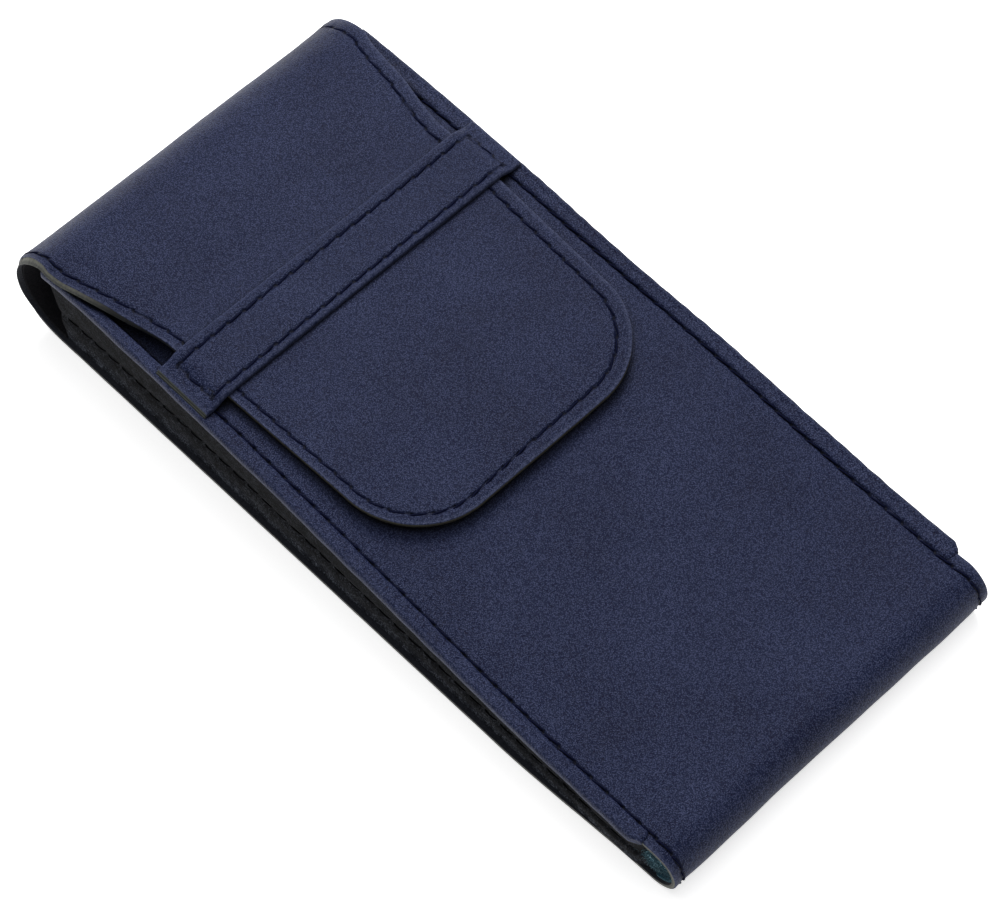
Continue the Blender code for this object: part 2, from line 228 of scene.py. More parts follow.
def warp_case(V):
    """The soft case spreads a little on its right side, towards the bottom."""
    V = V.copy()
    x, y = V[:, 0] / MM, V[:, 1] / MM
    seam = np.interp(y, [-98, -90, -78, -60, -30, -10, 0, 20, 35, 60], [1.25, 0.35, 0.65, 0.85, 1.0, 0.55, 0.15, -0.3, -0.4, -0.2])
    outer = np.interp(y, [-100, -60, -40, -22, -8, 2, 20, 45, 66, 84], [1.5, 1.3, 1.35, 1.05, 0.2, -0.15, -0.15, -0.1, 0.3, 0.7])
    k = sstep(5, 43.4, x)
    k2 = np.clip((x - 43.4) / 3.8, 0, 1)
    V[:, 0] += MM * k * (seam * (1 - k2) + outer * k2)
    V[:, 1] += MM * -0.95 * sstep(-60, -99, y) * sstep(-30, 47, x)
    # the left hem rises a little at the mouth and the leather beside it sinks under the flap
    high = sstep(9, 20, V[:, 2] / MM)
    V[:, 2] += MM * 0.45 * sstep(42, 80, y) * sstep(-44.4, -46, x) * high
    dip = sstep(45.5, 51, y) * sstep(90, 62, y) * high
    V[:, 2] -= MM * 3.2 * dip * sstep(-44.6, -43.2, x) * sstep(-20, -41, x)
    return V


def warp_fold(V):
    """The top fold is rolled a little tighter on the right, where its edge also draws in."""
    V = V.copy()
    x, y, z = V[:, 0] / MM, V[:, 1] / MM, V[:, 2] / MM
    t = np.clip((x + 47.4) / 94.8, 0, 1)
    V[:, 1] += MM * (-0.90 + 1.0 * t ** 2) * sstep(84, 97, y)
    V[:, 0] += MM * -2.3 * sstep(68, 84, y) * sstep(20, 46, x) * sstep(3, 17, z)
    V[:, 2] += MM * -0.5 * sstep(84, 95, y) * sstep(10, 47, x) * sstep(12, 22, z)
    # on the left the flap's edge stands out and hangs a little before it narrows
    hang = sstep(55, 68, y) * sstep(89, 81, y) * sstep(18, 24, z)
    V[:, 0] += MM * -0.9 * hang * sstep(-26, -43, x)
    V[:, 0] += MM * -0.70 * sstep(87, 99, y) * sstep(-30, -46, x)
    V[:, 2] += MM * -0.8 * hang * sstep(-34, -45, x)
    return V


# ------------------------------------------------------------------ materials
def nodes_of(mat):
    mat.use_nodes = True
    t = mat.node_tree
    for n in list(t.nodes):
        t.nodes.remove(n)
    out = t.nodes.new("ShaderNodeOutputMaterial")
    bsdf = t.nodes.new("ShaderNodeBsdfPrincipled")
    t.links.new(bsdf.outputs[0], out.inputs[0])
    return t, bsdf


class Net:
    def __init__(self, name):
        self.mat = bpy.data.materials.new(name)
        self.t, self.bsdf = nodes_of(self.mat)

    def node(self, kind, **props):
        n = self.t.nodes.new(kind)
        for k, v in props.items():
            setattr(n, k, v)
        return n

    def link(self, a, b):
        self.t.links.new(a, b)

    def attr(self, name, out="Vector"):
        n = self.node("ShaderNodeAttribute", attribute_name=name)
        return n.outputs[out]

    def noise(self, vec, scale, detail=4.0, rough=0.55, dist=0.0):
        n = self.node("ShaderNodeTexNoise")
        n.inputs["Scale"].default_value = scale
        n.inputs["Detail"].default_value = detail
        n.inputs["Roughness"].default_value = rough
        n.inputs["Distortion"].default_value = dist
        self.link(vec, n.inputs["Vector"])
        return n.outputs["Fac"]

    def voronoi(self, vec, scale, feature="F1", rand=1.0, smooth=0.3):
        n = self.node("ShaderNodeTexVoronoi", feature=feature)
        n.inputs["Scale"].default_value = scale
        n.inputs["Randomness"].default_value = rand
        if feature == "SMOOTH_F1":
            n.inputs["Smoothness"].default_value = smooth
        self.link(vec, n.inputs["Vector"])
        return n.outputs["Distance"]

    def scaled(self, vec, s):
        n = self.node("ShaderNodeVectorMath", operation="MULTIPLY")
        self.link(vec, n.inputs[0])
        n.inputs[1].default_value = s
        return n.outputs[0]

    def math(self, op, a, b=None, clamp=False):
        n = self.node("ShaderNodeMath", operation=op, use_clamp=clamp)
        for i, v in enumerate((a, b)):
            if v is None:
                continue
            if isinstance(v, (int, float)):
                n.inputs[i].default_value = v
            else:
                self.link(v, n.inputs[i])
        return n.outputs[0]

    def ramp(self, fac, stops):
        n = self.node("ShaderNodeValToRGB")
        e = n.color_ramp.elements
        while len(e) < len(stops):
            e.new(0.5)
        for el, (p, c) in zip(e, stops):
            el.position = p
            el.color = (*c, 1) if len(c) == 3 else c
        self.link(fac, n.inputs[0])
        return n.outputs[0]

    def fit(self, fac, a, b, c, d):
        n = self.node("ShaderNodeMapRange", clamp=True)
        self.link(fac, n.inputs[0])
        for i, v in enumerate((a, b, c, d)):
            n.inputs[i + 1].default_value = v
        return n.outputs[0]

    def mix(self, fac, a, b, kind="MIX"):
        n = self.node("ShaderNodeMix", data_type="RGBA", blend_type=kind)
        if isinstance(fac, (int, float)):
            n.inputs[0].default_value = fac
        else:
            self.link(fac, n.inputs[0])
        for sock, v in ((n.inputs[6], a), (n.inputs[7], b)):
            if isinstance(v, tuple):
                sock.default_value = (*v, 1)
            else:
                self.link(v, sock)
        return n.outputs[2]

    def bump(self, height, strength, distance, normal=None):
        n = self.node("ShaderNodeBump")
        n.inputs["Strength"].default_value = strength
        n.inputs["Distance"].default_value = distance
        self.link(height, n.inputs["Height"])
        if normal is not None:
            self.link(normal, n.inputs["Normal"])
        return n.outputs[0]

    def set(self, name, v):
        s = self.bsdf.inputs[name]
        if isinstance(v, (int, float)):
            s.default_value = v
        elif isinstance(v, tuple):
            s.default_value = (*v, 1) if len(v) == 3 else v
        else:
            self.link(v, s)


def leather(name, dark, mid, light, rough=(0.42, 0.58), grain=1.0, soft=1.0):
    m = Net(name)
    rest = m.attr("rest")                       # millimetres across, along, and a piece number
    pebble = m.voronoi(rest, 3.4 * grain, "SMOOTH_F1", 1.0, 0.15)
    fine = m.noise(rest, 4.2 * grain, 2.0, 0.7)
    pores = m.voronoi(rest, 1.35 * grain, "F1")
    cloud = m.noise(rest, 0.045, 3.0, 0.5)
    patch = m.noise(rest, 0.35, 4.0, 0.55)
    tone = m.math("ADD", m.math("MULTIPLY", cloud, 0.36), m.math("MULTIPLY", patch, 0.10))
    tone = m.math("ADD", m.math("ADD", tone, 0.135), m.math("MULTIPLY", m.noise(rest, 1.6, 3.0), 0.14))
    base = m.ramp(tone, [(0.30, dark), (0.44, mid), (0.60, light)])
    speck = m.math("MULTIPLY", m.fit(pebble, 0.10, 0.60, 1.46, 0.56), m.fit(fine, 0.34, 0.66, 0.64, 1.38))
    speck = m.math("MULTIPLY", speck, m.fit(pores, 0.05, 0.55, 0.86, 1.10))
    speck = m.math("ADD", m.math("MULTIPLY", speck, soft), 1.0 - soft)
    base = m.mix(1.0, base, m.comb(speck), "MULTIPLY")
    # the grey added on the light specks is partly the grain's own tone and partly painted glints on the raised grain
    base = m.mix(1.0, base, m.comb(m.math("MULTIPLY", m.math("SUBTRACT", speck, 1.0), 0.0230)), "ADD")
    # rubbed cut edges: wear, and a painted highlight along the rims and the hem's outer slope
    wear_and_highlight = m.fit(m.attr("edge", "Fac"), 0.0, 1.1, 1.0, 0.0)
    wear_and_highlight = m.math("MULTIPLY", wear_and_highlight, m.fit(m.noise(rest, 1.6, 3.0), 0.35, 0.7, 0.10, 0.75))
    base = m.mix(wear_and_highlight, base, tuple(min(1.0, c * 1.5 + 0.030) for c in light))
    # thread channel, painted shade: the leather is darkened along the groove and at the needle holes; x across it in
    # mm, y counts stitches, z its strength
    sp = m.node("ShaderNodeSeparateXYZ")
    m.link(m.attr("seam"), sp.inputs[0])
    f = m.math("FRACT", sp.outputs[1])
    off = m.math("SUBTRACT", sp.outputs[0], m.math("MULTIPLY", m.math("SUBTRACT", f, 0.5), 2 * SLANT))
    line = m.math("EXPONENT", m.math("MULTIPLY", m.math("POWER", m.math("DIVIDE", off, 0.27), 2.0), -1.0))
    hole_s = m.math("MULTIPLY", m.math("MINIMUM", f, m.math("SUBTRACT", 1.0, f)), PITCH / MM / 0.42)
    hole_d = m.math("DIVIDE", sp.outputs[0], 0.36)
    hole = m.math("EXPONENT", m.math("MULTIPLY", m.math("ADD", m.math("POWER", hole_s, 2.0), m.math("POWER", m.math("ABSOLUTE", hole_d), 2.0)), -1.0))
    chan = m.math("MULTIPLY", m.math("ADD", m.math("MULTIPLY", line, 0.62), m.math("MULTIPLY", hole, 0.95), clamp=True), sp.outputs[2])
    # painted shade in the stitch groove and needle holes
    base = m.mix(m.math("MULTIPLY", chan, 0.93), base, (0.0016, 0.0022, 0.0085))
    # painted shade: the leather's colour is darkened deep in the gaps and beside the seams, driven by an occlusion
    # node
    ao = m.node("ShaderNodeAmbientOcclusion", samples=6)
    ao.inputs["Distance"].default_value = 5.0 * MM
    base = m.mix(1.0, base, m.comb(m.fit(ao.outputs["AO"], 0.40, 0.80, 0.05, 1.0)), "MULTIPLY")
    m.set("Base Color", base)
    r = m.math("ADD", m.math("MULTIPLY", patch, 0.12), m.math("MULTIPLY", fine, 0.10))
    m.set("Roughness", m.fit(r, 0.05, 0.17, rough[0], rough[1]))
    m.bsdf.inputs["Specular IOR Level"].default_value = 0.13
    height = m.math("ADD", m.math("MULTIPLY", pebble, -0.60), m.math("MULTIPLY", fine, 0.50))
    height = m.math("ADD", height, m.math("MULTIPLY", pores, 0.20))
    height = m.math("SUBTRACT", height, m.math("MULTIPLY", chan, 0.9))
    m.set("Normal", m.bump(height, 1.0 * soft, 0.22 * MM))
    return m.mat


def comb(self, value):
    n = self.node("ShaderNodeCombineColor")
    for i in range(3):
        self.link(value, n.inputs[i])
    return n.outputs[0]


Net.comb = comb


def raw_edge(name, light=(0.150, 0.150, 0.118), dark=(0.030, 0.033, 0.036), layers=1.0, edge_shade=False, contrast=0.14, shine=0.3):
    """Cut leather: pale olive fibre with darker burnished streaks; rest.z runs 0..1 across it."""
    m = Net(name)
    rest = m.attr("rest")
    lay = m.attr("layer", "Fac")
    streak = m.noise(m.scaled(rest, (1.0, 1.0, 1.0)), 1.6, 5.0, 0.65)
    fibre = m.noise(m.scaled(rest, (1.2, 1.2, 6.0)), 3.0, 3.0, 0.6)
    band = m.math("SINE", m.math("MULTIPLY", lay, 6.2832 * layers))
    tone = m.math("ADD", m.math("MULTIPLY", streak, 0.8), m.math("MULTIPLY", fibre, 0.35))
    tone = m.math("ADD", tone, m.math("MULTIPLY", band, contrast))
    m.set("Base Color", m.ramp(tone, [(0.30, dark), (0.58, tuple(0.5 * (a + b) for a, b in zip(light, dark))), (0.80, light)]))
    rim = m.fit(lay, 0.0, 0.30, 1.0 if contrast < 0.2 else 0.0, 0.0)
    m.set("Base Color", m.mix(m.math("MULTIPLY", rim, 0.6), m.ramp(tone, [(0.30, dark), (0.58, tuple(0.5 * (a + b) for a, b in zip(light, dark))), (0.80, light)]), (0.100, 0.098, 0.080)))
    # painted shade: on the flap's sides and the fold's end nearest the flap the cut edge darkens to near black, where
    # it lies in shadow
    if edge_shade:
        sp = m.node("ShaderNodeSeparateXYZ")
        m.link(rest, sp.inputs[0])
        on_flap = m.math("MULTIPLY", m.fit(sp.outputs[2], 29.0, 30.0, 0.0, 0.92), m.fit(sp.outputs[2], 31.3, 31.4, 1.0, 0.0))
        on_fold = m.math("MULTIPLY", m.fit(sp.outputs[2], 39.0, 40.0, 0.0, 1.0), m.fit(sp.outputs[1], 50.0, 61.0, 0.0, 0.92))
        shade = m.math("ADD", on_flap, on_fold)
        old = m.bsdf.inputs["Base Color"].links[0].from_socket
        m.set("Base Color", m.mix(shade, old, (0.010, 0.011, 0.012)))
    m.set("Roughness", 0.72)
    m.bsdf.inputs["Specular IOR Level"].default_value = shine
    m.set("Normal", m.bump(tone, 0.5, 0.08 * MM))
    return m.mat


def suede(name, dark, mid, light, sheen=0.25, mottle=0.12, pleat_shade=False):
    m = Net(name)
    rest = m.attr("rest")
    nap = m.noise(rest, 1.7, 3.0, 0.75, 0.3)
    fine = m.noise(rest, 3.3, 2.0, 0.7)
    cloud = m.noise(rest, 0.42, 4.0, 0.6)
    tone = m.math("ADD", m.math("MULTIPLY", nap, 0.5), m.math("MULTIPLY", fine, 0.5))
    tone = m.math("ADD", tone, m.math("MULTIPLY", m.math("SUBTRACT", cloud, 0.5), mottle))
    base = m.ramp(tone, [(0.36, dark), (0.50, mid), (0.66, light)])
    if pleat_shade:
        # painted light and shade: the upper half is darkened as if shaded under the hem, and the lower border
        # lightened as if lit from below
        up = m.attr("edge", "Fac")
        pleat_light_shade = m.math("MULTIPLY", m.fit(up, 0.04, 0.24, 1.50, 0.50), m.fit(up, 0.30, 0.60, 1.0, 0.66))
        base = m.mix(1.0, base, m.comb(pleat_light_shade), "MULTIPLY")
    m.set("Base Color", base)
    m.set("Roughness", 0.92)
    m.bsdf.inputs["Specular IOR Level"].default_value = 0.10
    m.bsdf.inputs["Sheen Weight"].default_value = sheen
    m.bsdf.inputs["Sheen Roughness"].default_value = 0.5
    m.set("Normal", m.bump(m.math("ADD", nap, m.math("MULTIPLY", fine, 0.7)), 0.9, 0.25 * MM))
    return m.mat


def thread_mat(name, dark, light):
    m = Net(name)
    rest = m.attr("rest")
    fibre = m.noise(m.scaled(rest, (1.0, 1.0, 1.0)), 4.0, 3.0, 0.6)
    strand = m.attr("layer", "Fac")
    tone = m.math("ADD", m.math("MULTIPLY", fibre, 0.6), m.math("MULTIPLY", strand, 0.4))
    m.set("Base Color", m.ramp(tone, [(0.3, dark), (0.75, light)]))
    m.set("Roughness", 0.75)
    m.bsdf.inputs["Specular IOR Level"].default_value = 0.04
    m.set("Normal", m.bump(fibre, 0.4, 0.04 * MM))
    return m.mat


NAVY = leather("navy_leather", (0.0138, 0.0186, 0.0484), (0.0188, 0.0254, 0.0640), (0.0260, 0.0338, 0.0796))
NAVY_IN = suede("leather_flesh_side", (0.010, 0.011, 0.016), (0.018, 0.020, 0.028), (0.030, 0.032, 0.042), 0.1)
EDGE_HEM = raw_edge("hem_cut_edge", (0.042, 0.044, 0.044), (0.008, 0.009, 0.013), 1.0, False, 0.20, 0.1)
# cut edge for the case, fold and flap; on the flap and fold its painted shade is switched on
EDGE = raw_edge("leather_cut_edge", (0.122, 0.124, 0.106), (0.022, 0.025, 0.026), 1.0, True)
# a darker copy of the cut edge: painted shade for the tongue's edges, which sit in shadow close to the panel
EDGE_SHADED = raw_edge("tongue_cut_edge_shaded", (0.060, 0.055, 0.036), (0.005, 0.005, 0.004))
EDGE_LAYERS = raw_edge("strap_cut_end", (0.036, 0.041, 0.034), (0.002, 0.003, 0.004), 2.0, False, 0.30)
# gusset suede: its painted light and shade up its height is switched on
SUEDE = suede("charcoal_suede", (0.0004, 0.0006, 0.0012), (0.0034, 0.0044, 0.0076), (0.0740, 0.0810, 0.0980), 0.0, 0.30, True)
FACING = suede("charcoal_facing", (0.0040, 0.0040, 0.0055), (0.0085, 0.0083, 0.0105), (0.0160, 0.0155, 0.0180), 0.0)
VELOUR = suede("teal_velour", (0.003, 0.016, 0.028), (0.012, 0.060, 0.092), (0.060, 0.200, 0.270), 0.15)
# a much lighter copy of the teal velour: painted light on the pile in the open corners of the bottom fold
LIT_PILE = suede("teal_pile_lit", (0.002, 0.009, 0.016), (0.022, 0.092, 0.140), (0.420, 0.700, 0.780), 0.10)
THREAD = thread_mat("navy_thread", (0.0012, 0.0018, 0.0095), (0.0052, 0.0075, 0.0290))
BLACK_THREAD = thread_mat("black_thread", (0.0005, 0.0005, 0.0008), (0.0022, 0.0022, 0.0032))


# ------------------------------------------------------------------ meshes
WARP = None            # the softness of the piece being built: a small smooth shift of its points


def make(name, verts, faces, mats, mat_index=None, rest=None, edge=None, layer=None, sharp=50, seam=None):
    me = bpy.data.meshes.new(name)
    raw = np.asarray(verts, float)
    placed = raw if WARP is None else WARP(raw)
    me.from_pydata([tuple(v) for v in placed.tolist()], [], [tuple(f) for f in faces])
    for m in mats:
        me.materials.append(m)
    if mat_index is not None:
        me.polygons.foreach_set("material_index", np.asarray(mat_index, np.int32))
    me.polygons.foreach_set("use_smooth", np.ones(len(me.polygons), bool))
    n = len(verts)
    a = me.attributes.new("rest", "FLOAT_VECTOR", "POINT")
    a.data.foreach_set("vector", np.asarray(rest if rest is not None else raw * 1000, np.float32).ravel())
    a = me.attributes.new("edge", "FLOAT", "POINT")
    a.data.foreach_set("value", np.asarray(edge if edge is not None else np.full(n, 10.0), np.float32))
    a = me.attributes.new("layer", "FLOAT", "POINT")
    a.data.foreach_set("value", np.asarray(layer if layer is not None else np.zeros(n), np.float32))
    a = me.attributes.new("seam", "FLOAT_VECTOR", "POINT")
    sm = np.zeros((n, 3)) + np.array([50.0, 0.25, 0.0]) if seam is None else np.asarray(seam, float).reshape(-1, 3)
    if len(sm) < n:
        sm = np.concatenate([sm, np.tile([50.0, 0.25, 0.0], (n - len(sm), 1))])
    a.data.foreach_set("vector", sm.astype(np.float32).ravel())
    me.validate(clean_customdata=False)
    me.update()
    me.set_sharp_from_angle(angle=math.radians(sharp))
    ob = bpy.data.objects.new(name, me)
    bpy.context.scene.collection.objects.link(ob)
    return ob


def grid_faces(nv, nu, base=0, flip=False):
    i, j = np.meshgrid(np.arange(nv - 1), np.arange(nu - 1), indexing="ij")
    a = base + i * nu + j
    f = np.stack([a, a + 1, a + nu + 1, a + nu], -1).reshape(-1, 4)
    return f[:, ::-1] if flip else f


def thick_sheet(name, O, N, thick, mats, rest, edge, side_index=1, inner_index=2, inner_h=None, seam=None):
    """Closed sheet from the skin grid O (nv, nu, 3) with outward normals N. rest, edge: per vertex."""
    nv, nu = O.shape[:2]
    t = np.broadcast_to(np.asarray(thick, float), (nv, nu))[..., None]
    inner = O - N * t if inner_h is None else inner_h
    verts = np.concatenate([O.reshape(-1, 3), inner.reshape(-1, 3)])
    p = O
    du = p[nv // 2, nu // 2 + 1] - p[nv // 2, nu // 2]
    dv = p[nv // 2 + 1, nu // 2] - p[nv // 2, nu // 2]
    flip = np.dot(np.cross(du, dv), N[nv // 2, nu // 2]) < 0
    n = nv * nu
    fo = grid_faces(nv, nu, 0, flip)
    fi = grid_faces(nv, nu, n, not flip)
    idx = np.arange(n).reshape(nv, nu)
    loop = np.concatenate([idx[0, :], idx[1:, -1], idx[-1, -2::-1], idx[-2:0:-1, 0]])
    nxt = np.roll(loop, -1)
    sides = np.stack([loop, loop + n, nxt + n, nxt], -1)
    if flip:
        sides = sides[:, ::-1]
    faces = np.concatenate([fo, fi, sides])
    mi = np.concatenate([np.zeros(len(fo)), np.full(len(fi), inner_index), np.full(len(sides), side_index)])
    rest = np.asarray(rest, float).reshape(-1, 3)
    rest2 = rest.copy()
    rest2[:, 2] += 1.2
    edge = np.asarray(edge, float).reshape(-1)
    return make(name, verts, faces, mats, mi, np.concatenate([rest, rest2]), np.concatenate([edge, edge]),
                np.concatenate([np.zeros(n), np.ones(n)]), seam=seam)


def tube_loft(name, loops, mats, mat_rows=None, rest=None, edge=None, layer=None, sharp=50, caps=True, cap_index=0, seam=None):
    """Closed loft: loops (m, k, 3). mat_rows gives a material index for each of the k sides."""
    L = np.asarray(loops)
    m, k = L.shape[:2]
    verts = L.reshape(-1, 3)
    i, j = np.meshgrid(np.arange(m - 1), np.arange(k), indexing="ij")
    a, b = i * k + j, i * k + (j + 1) % k
    faces = np.stack([a, b, b + k, a + k], -1).reshape(-1, 4)
    centre = L[m // 2].mean(0)
    p, q, r = L[m // 2, 0], L[m // 2, 1], L[m // 2 + 1, 0]
    if np.dot(np.cross(q - p, r - p), 0.5 * (p + q) - centre) < 0:
        faces = faces[:, ::-1]
        flip = True
    else:
        flip = False
    mi = np.tile(np.asarray(mat_rows if mat_rows is not None else np.zeros(k), int), m - 1)
    faces = [tuple(f) for f in faces]
    mi = list(mi)
    if caps:
        first, last = list(range(k)), list(range((m - 1) * k, m * k))
        faces.append(tuple(first if flip else first[::-1]))
        faces.append(tuple(last[::-1] if flip else last))
        mi += [cap_index, cap_index]
    return make(name, verts, faces, mats, mi, rest, edge, layer, sharp, seam)


def offsets_from_edge(hw, inner=6.5 * MM, n_edge=26, n_mid=34):
    """Column positions across a strip of half width hw: dense towards both edges."""
    t = np.linspace(0, 1, n_edge)
    zone = inner * t ** 1.25
    right = hw - zone
    mid = np.linspace(-(hw - inner), hw - inner, n_mid)[1:-1]
    return np.concatenate([-right, mid, right[::-1]])


def stitches(name, P, N, phase, mat, length=4.05 * MM, r=0.20 * MM, slant=SLANT * MM, s0=0.0, first=None, last=None, rise=0.04 * MM):
    """One mesh of separate stitches along the skin polyline P (n, 3) with normals N; s0 is the arc length at its start."""
    P, N = np.asarray(P, float), np.asarray(N, float)
    seg = np.linalg.norm(np.diff(P, axis=0), axis=1)
    S = s0 + np.concatenate([[0], np.cumsum(seg)])
    a = S[0] if first is None else first
    b = S[-1] if last is None else last
    i0, i1 = math.ceil((a - phase) / PITCH), math.floor((b - phase) / PITCH)
    tau = np.linspace(-1, 1, 13)
    K = 12
    verts, faces, rest, layer = [], [], [], []
    count = 0
    for i in range(i0, i1 + 1):
        c = phase + i * PITCH
        rr = np.random.default_rng(i * 7919 + int(abs(P[0, 0]) * 1e6) + int(abs(P[0, 1]) * 1e6))
        half = 0.5 * length * (1 + rr.uniform(-0.03, 0.03))
        s = c + tau * half
        if s[0] < S[0] - 1e-9 or s[-1] > S[-1] + 1e-9:
            continue
        ctr = np.stack([np.interp(s, S, P[:, k]) for k in range(3)], -1)
        nn = np.stack([np.interp(s, S, N[:, k]) for k in range(3)], -1)
        nn /= np.linalg.norm(nn, axis=1)[:, None]
        tt = np.gradient(ctr, axis=0)
        tt /= np.linalg.norm(tt, axis=1)[:, None]
        bb = np.cross(nn, tt)
        sl = slant * (1 + rr.uniform(-0.2, 0.2))
        h = rise + 0.10 * MM * (1 - tau ** 2) - 0.42 * MM * np.abs(tau) ** 7
        ctr = ctr + nn * h[:, None] + bb * (sl * tau + rr.uniform(-0.03, 0.03) * MM)[:, None]
        rad = r * (1 - 0.30 * np.abs(tau) ** 6)
        for q in range(len(tau)):
            for k in range(K):
                phi = 2 * math.pi * k / K
                ridge = 0.5 + 0.5 * math.cos(3 * phi - 2 * math.pi * (s[q] / (1.15 * MM)))
                rk = rad[q] * (0.86 + 0.18 * ridge)
                verts.append(ctr[q] + bb[q] * rk * math.cos(phi) * 1.08 + nn[q] * rk * math.sin(phi) * 0.88)
                rest.append((s[q] * 1000, phi * 0.3, i * 1.7))
                layer.append(ridge)
        for q in range(len(tau) - 1):
            for k in range(K):
                a0 = count + q * K + k
                b0 = count + q * K + (k + 1) % K
                faces.append((a0, a0 + K, b0 + K, b0))
        faces.append(tuple(count + k for k in range(K)))
        faces.append(tuple(count + (len(tau) - 1) * K + k for k in range(K))[::-1])
        count += len(tau) * K
    # orient: test one side face
    v = np.array(verts)
    f = faces[0]
    c0 = v[: len(tau) * K].reshape(len(tau), K, 3)[0].mean(0)
    nrm = np.cross(v[f[1]] - v[f[0]], v[f[3]] - v[f[0]])
    if np.dot(nrm, v[f[0]] - c0) < 0:
        faces = [g[::-1] for g in faces]
    return make(name, verts, faces, [mat], None, rest, None, layer, 80)


def done(ob, body, slot, *nodes):
    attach(ob, body)
    if nodes:
        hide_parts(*nodes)
    return ob


def bent(ob, a, b, start, end, slot, *nodes):
    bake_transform(ob)
    if nodes:
        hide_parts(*nodes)
    return ob


# ------------------------------------------------------------------ the skin path of the case
def path_rows(points, step):
    """Even rows along a (y, z) path: returns ys, zs, arc length."""
    p = np.asarray(points, float)
    seg = np.hypot(*np.diff(p, axis=0).T)
    s = np.concatenate([[0], np.cumsum(seg)])
    n = int(round(s[-1] / step)) + 1
    q = np.linspace(0, s[-1], n)
    return np.interp(q, s, p[:, 0]), np.interp(q, s, p[:, 1]), q


def path_normals(ys, zs, side):
    dy, dz = np.gradient(ys), np.gradient(zs)
    n = np.hypot(dy, dz)
    return side * dz / n, -side * dy / n


fy = np.linspace(MOUTH_Y, BOTTOM_Y, 400)
arc = np.linspace(0, math.pi, 80)[1:]
back_end = 82.0 * MM
path = np.concatenate([
    np.stack([fy, front_z(fy)], -1),
    np.stack([BOTTOM_Y - BOTTOM_R * np.sin(arc), BOTTOM_R + BOTTOM_R * np.cos(arc)], -1),
    np.stack([np.linspace(BOTTOM_Y, back_end, 300)[1:], np.zeros(299)], -1),
])
py, pz, ps = path_rows(path, 0.50 * MM)
ny, nz = path_normals(py, pz, 1.0)
# outward: up on the front, -Y at the fold, down on the back
mid = len(py) // 4
if nz[10] < 0:
    ny, nz = -ny, -nz
i_front_end = int(np.argmin(np.abs(py[: len(py) // 2] - HEM_END_Y)))
S_FRONT = ps[i_front_end]
S_BOTTOM0 = float(np.interp(-BOTTOM_Y, -py[: len(py) // 2], ps[: len(py) // 2]))
S_BOTTOM1 = S_BOTTOM0 + math.pi * BOTTOM_R


def strip_half(s):
    """Half width of the case strip at arc length s."""
    k = sstep(S_FRONT - 1.6 * MM, S_FRONT - 0.5 * MM, s)
    out = LEAF_HALF_W + (BOTTOM_HALF_W - 0.2 * MM * sstep(S_BOTTOM0, S_BOTTOM0 + 6 * MM, s) - LEAF_HALF_W) * k
    k2 = sstep(S_BOTTOM1 - 2.0 * MM, S_BOTTOM1 + 42 * MM, s)
    return out + (HALF_W - out) * k2


def seam_x(s):
    """Where the seam runs: beside the hem on the front, a little further out on the back."""
    k = sstep(S_BOTTOM0 + 6 * MM, S_BOTTOM1 + 8 * MM, s)
    return 43.42 * MM + (HALF_W - SEAM_INSET - 43.42 * MM) * k


PHASE = (FLAP_PHASE + ps[-1] + (FOLD_Y - back_end)) % PITCH
WARP = warp_case
hw = strip_half(ps)
n_edge, n_mid = 28, 36
cols = []
for h_, s_ in zip(hw, ps):
    inner_x = 40.6 * MM
    t = np.linspace(0, 1, n_edge) ** 1.15
    right = h_ - (h_ - inner_x) * t
    m_ = np.linspace(-inner_x, inner_x, n_mid)[1:-1]
    cols.append(np.concatenate([-right, m_, right[::-1]]))
X = np.array(cols)
nv, nu = X.shape
S = np.repeat(ps[:, None], nu, 1)
E = np.maximum(hw[:, None] - np.abs(X), 0)
d_seam = np.abs(X) - seam_x(ps)[:, None]
H = stitch_pull(d_seam, S, PHASE)
E_open = np.where(S < S_FRONT - 1.0 * MM, 5 * MM, E)          # under the hem there is no cut edge
H += edge_round(np.minimum(E_open, np.maximum(S, 0.0)))
back = sstep(S_BOTTOM1 - 2 * MM, S_BOTTOM1 + 6 * MM, S)
H += (0.10 * MM * wob(X, S, 38 * MM, 3) + 0.035 * MM * wob(X, S, 9 * MM, 4)) * (1 - back)
H += 0.05 * MM * back * wob(X, S, 12 * MM, 5) - 0.05 * MM * back
# the skin falls a little towards the seam on the front
H += -0.16 * MM * sstep(4.0 * MM, 0.4 * MM, np.abs(d_seam)) * (1 - back)
Nrm = np.stack([np.zeros_like(X), np.repeat(ny[:, None], nu, 1), np.repeat(nz[:, None], nu, 1)], -1)
P0 = np.stack([X, np.repeat(py[:, None], nu, 1), np.repeat(pz[:, None], nu, 1)], -1)
case_skin = P0 + Nrm * H[..., None]
rest = np.stack([X * 1000, S * 1000, np.zeros_like(X)], -1)
inner = P0 - Nrm * LEATHER
seam_v = np.stack([np.sign(X) * d_seam / MM, (S - PHASE) / PITCH + 0.5, (np.abs(d_seam) < 4.5 * MM).astype(float)], -1)
# distance to the cut edges: drives the leather's rubbed-edge mix, wear with a painted highlight
E_wear_and_highlight = np.where(S < S_FRONT - 1.0 * MM, np.maximum(S, 0), np.minimum(E, np.maximum(S, 0)))
ob = thick_sheet("case_leather", case_skin, Nrm, LEATHER, [NAVY, EDGE, NAVY_IN], rest, E_wear_and_highlight * 1000, inner_h=inner, seam=seam_v)
done(ob, "case", "navy_leather", "outer_leather")


def strip_line(x_of_s, s_from, s_to, side, step=0.3 * MM, sink=0.12 * MM):
    s = np.arange(s_from, s_to, step)
    y, z = np.interp(s, ps, py), np.interp(s, ps, pz)
    a, b = np.interp(s, ps, ny), np.interp(s, ps, nz)
    n = np.hypot(a, b)
    a, b = a / n, b / n
    return (np.stack([side * x_of_s(s), y - a * sink, z - b * sink], -1), np.stack([0 * s, a, b], -1))


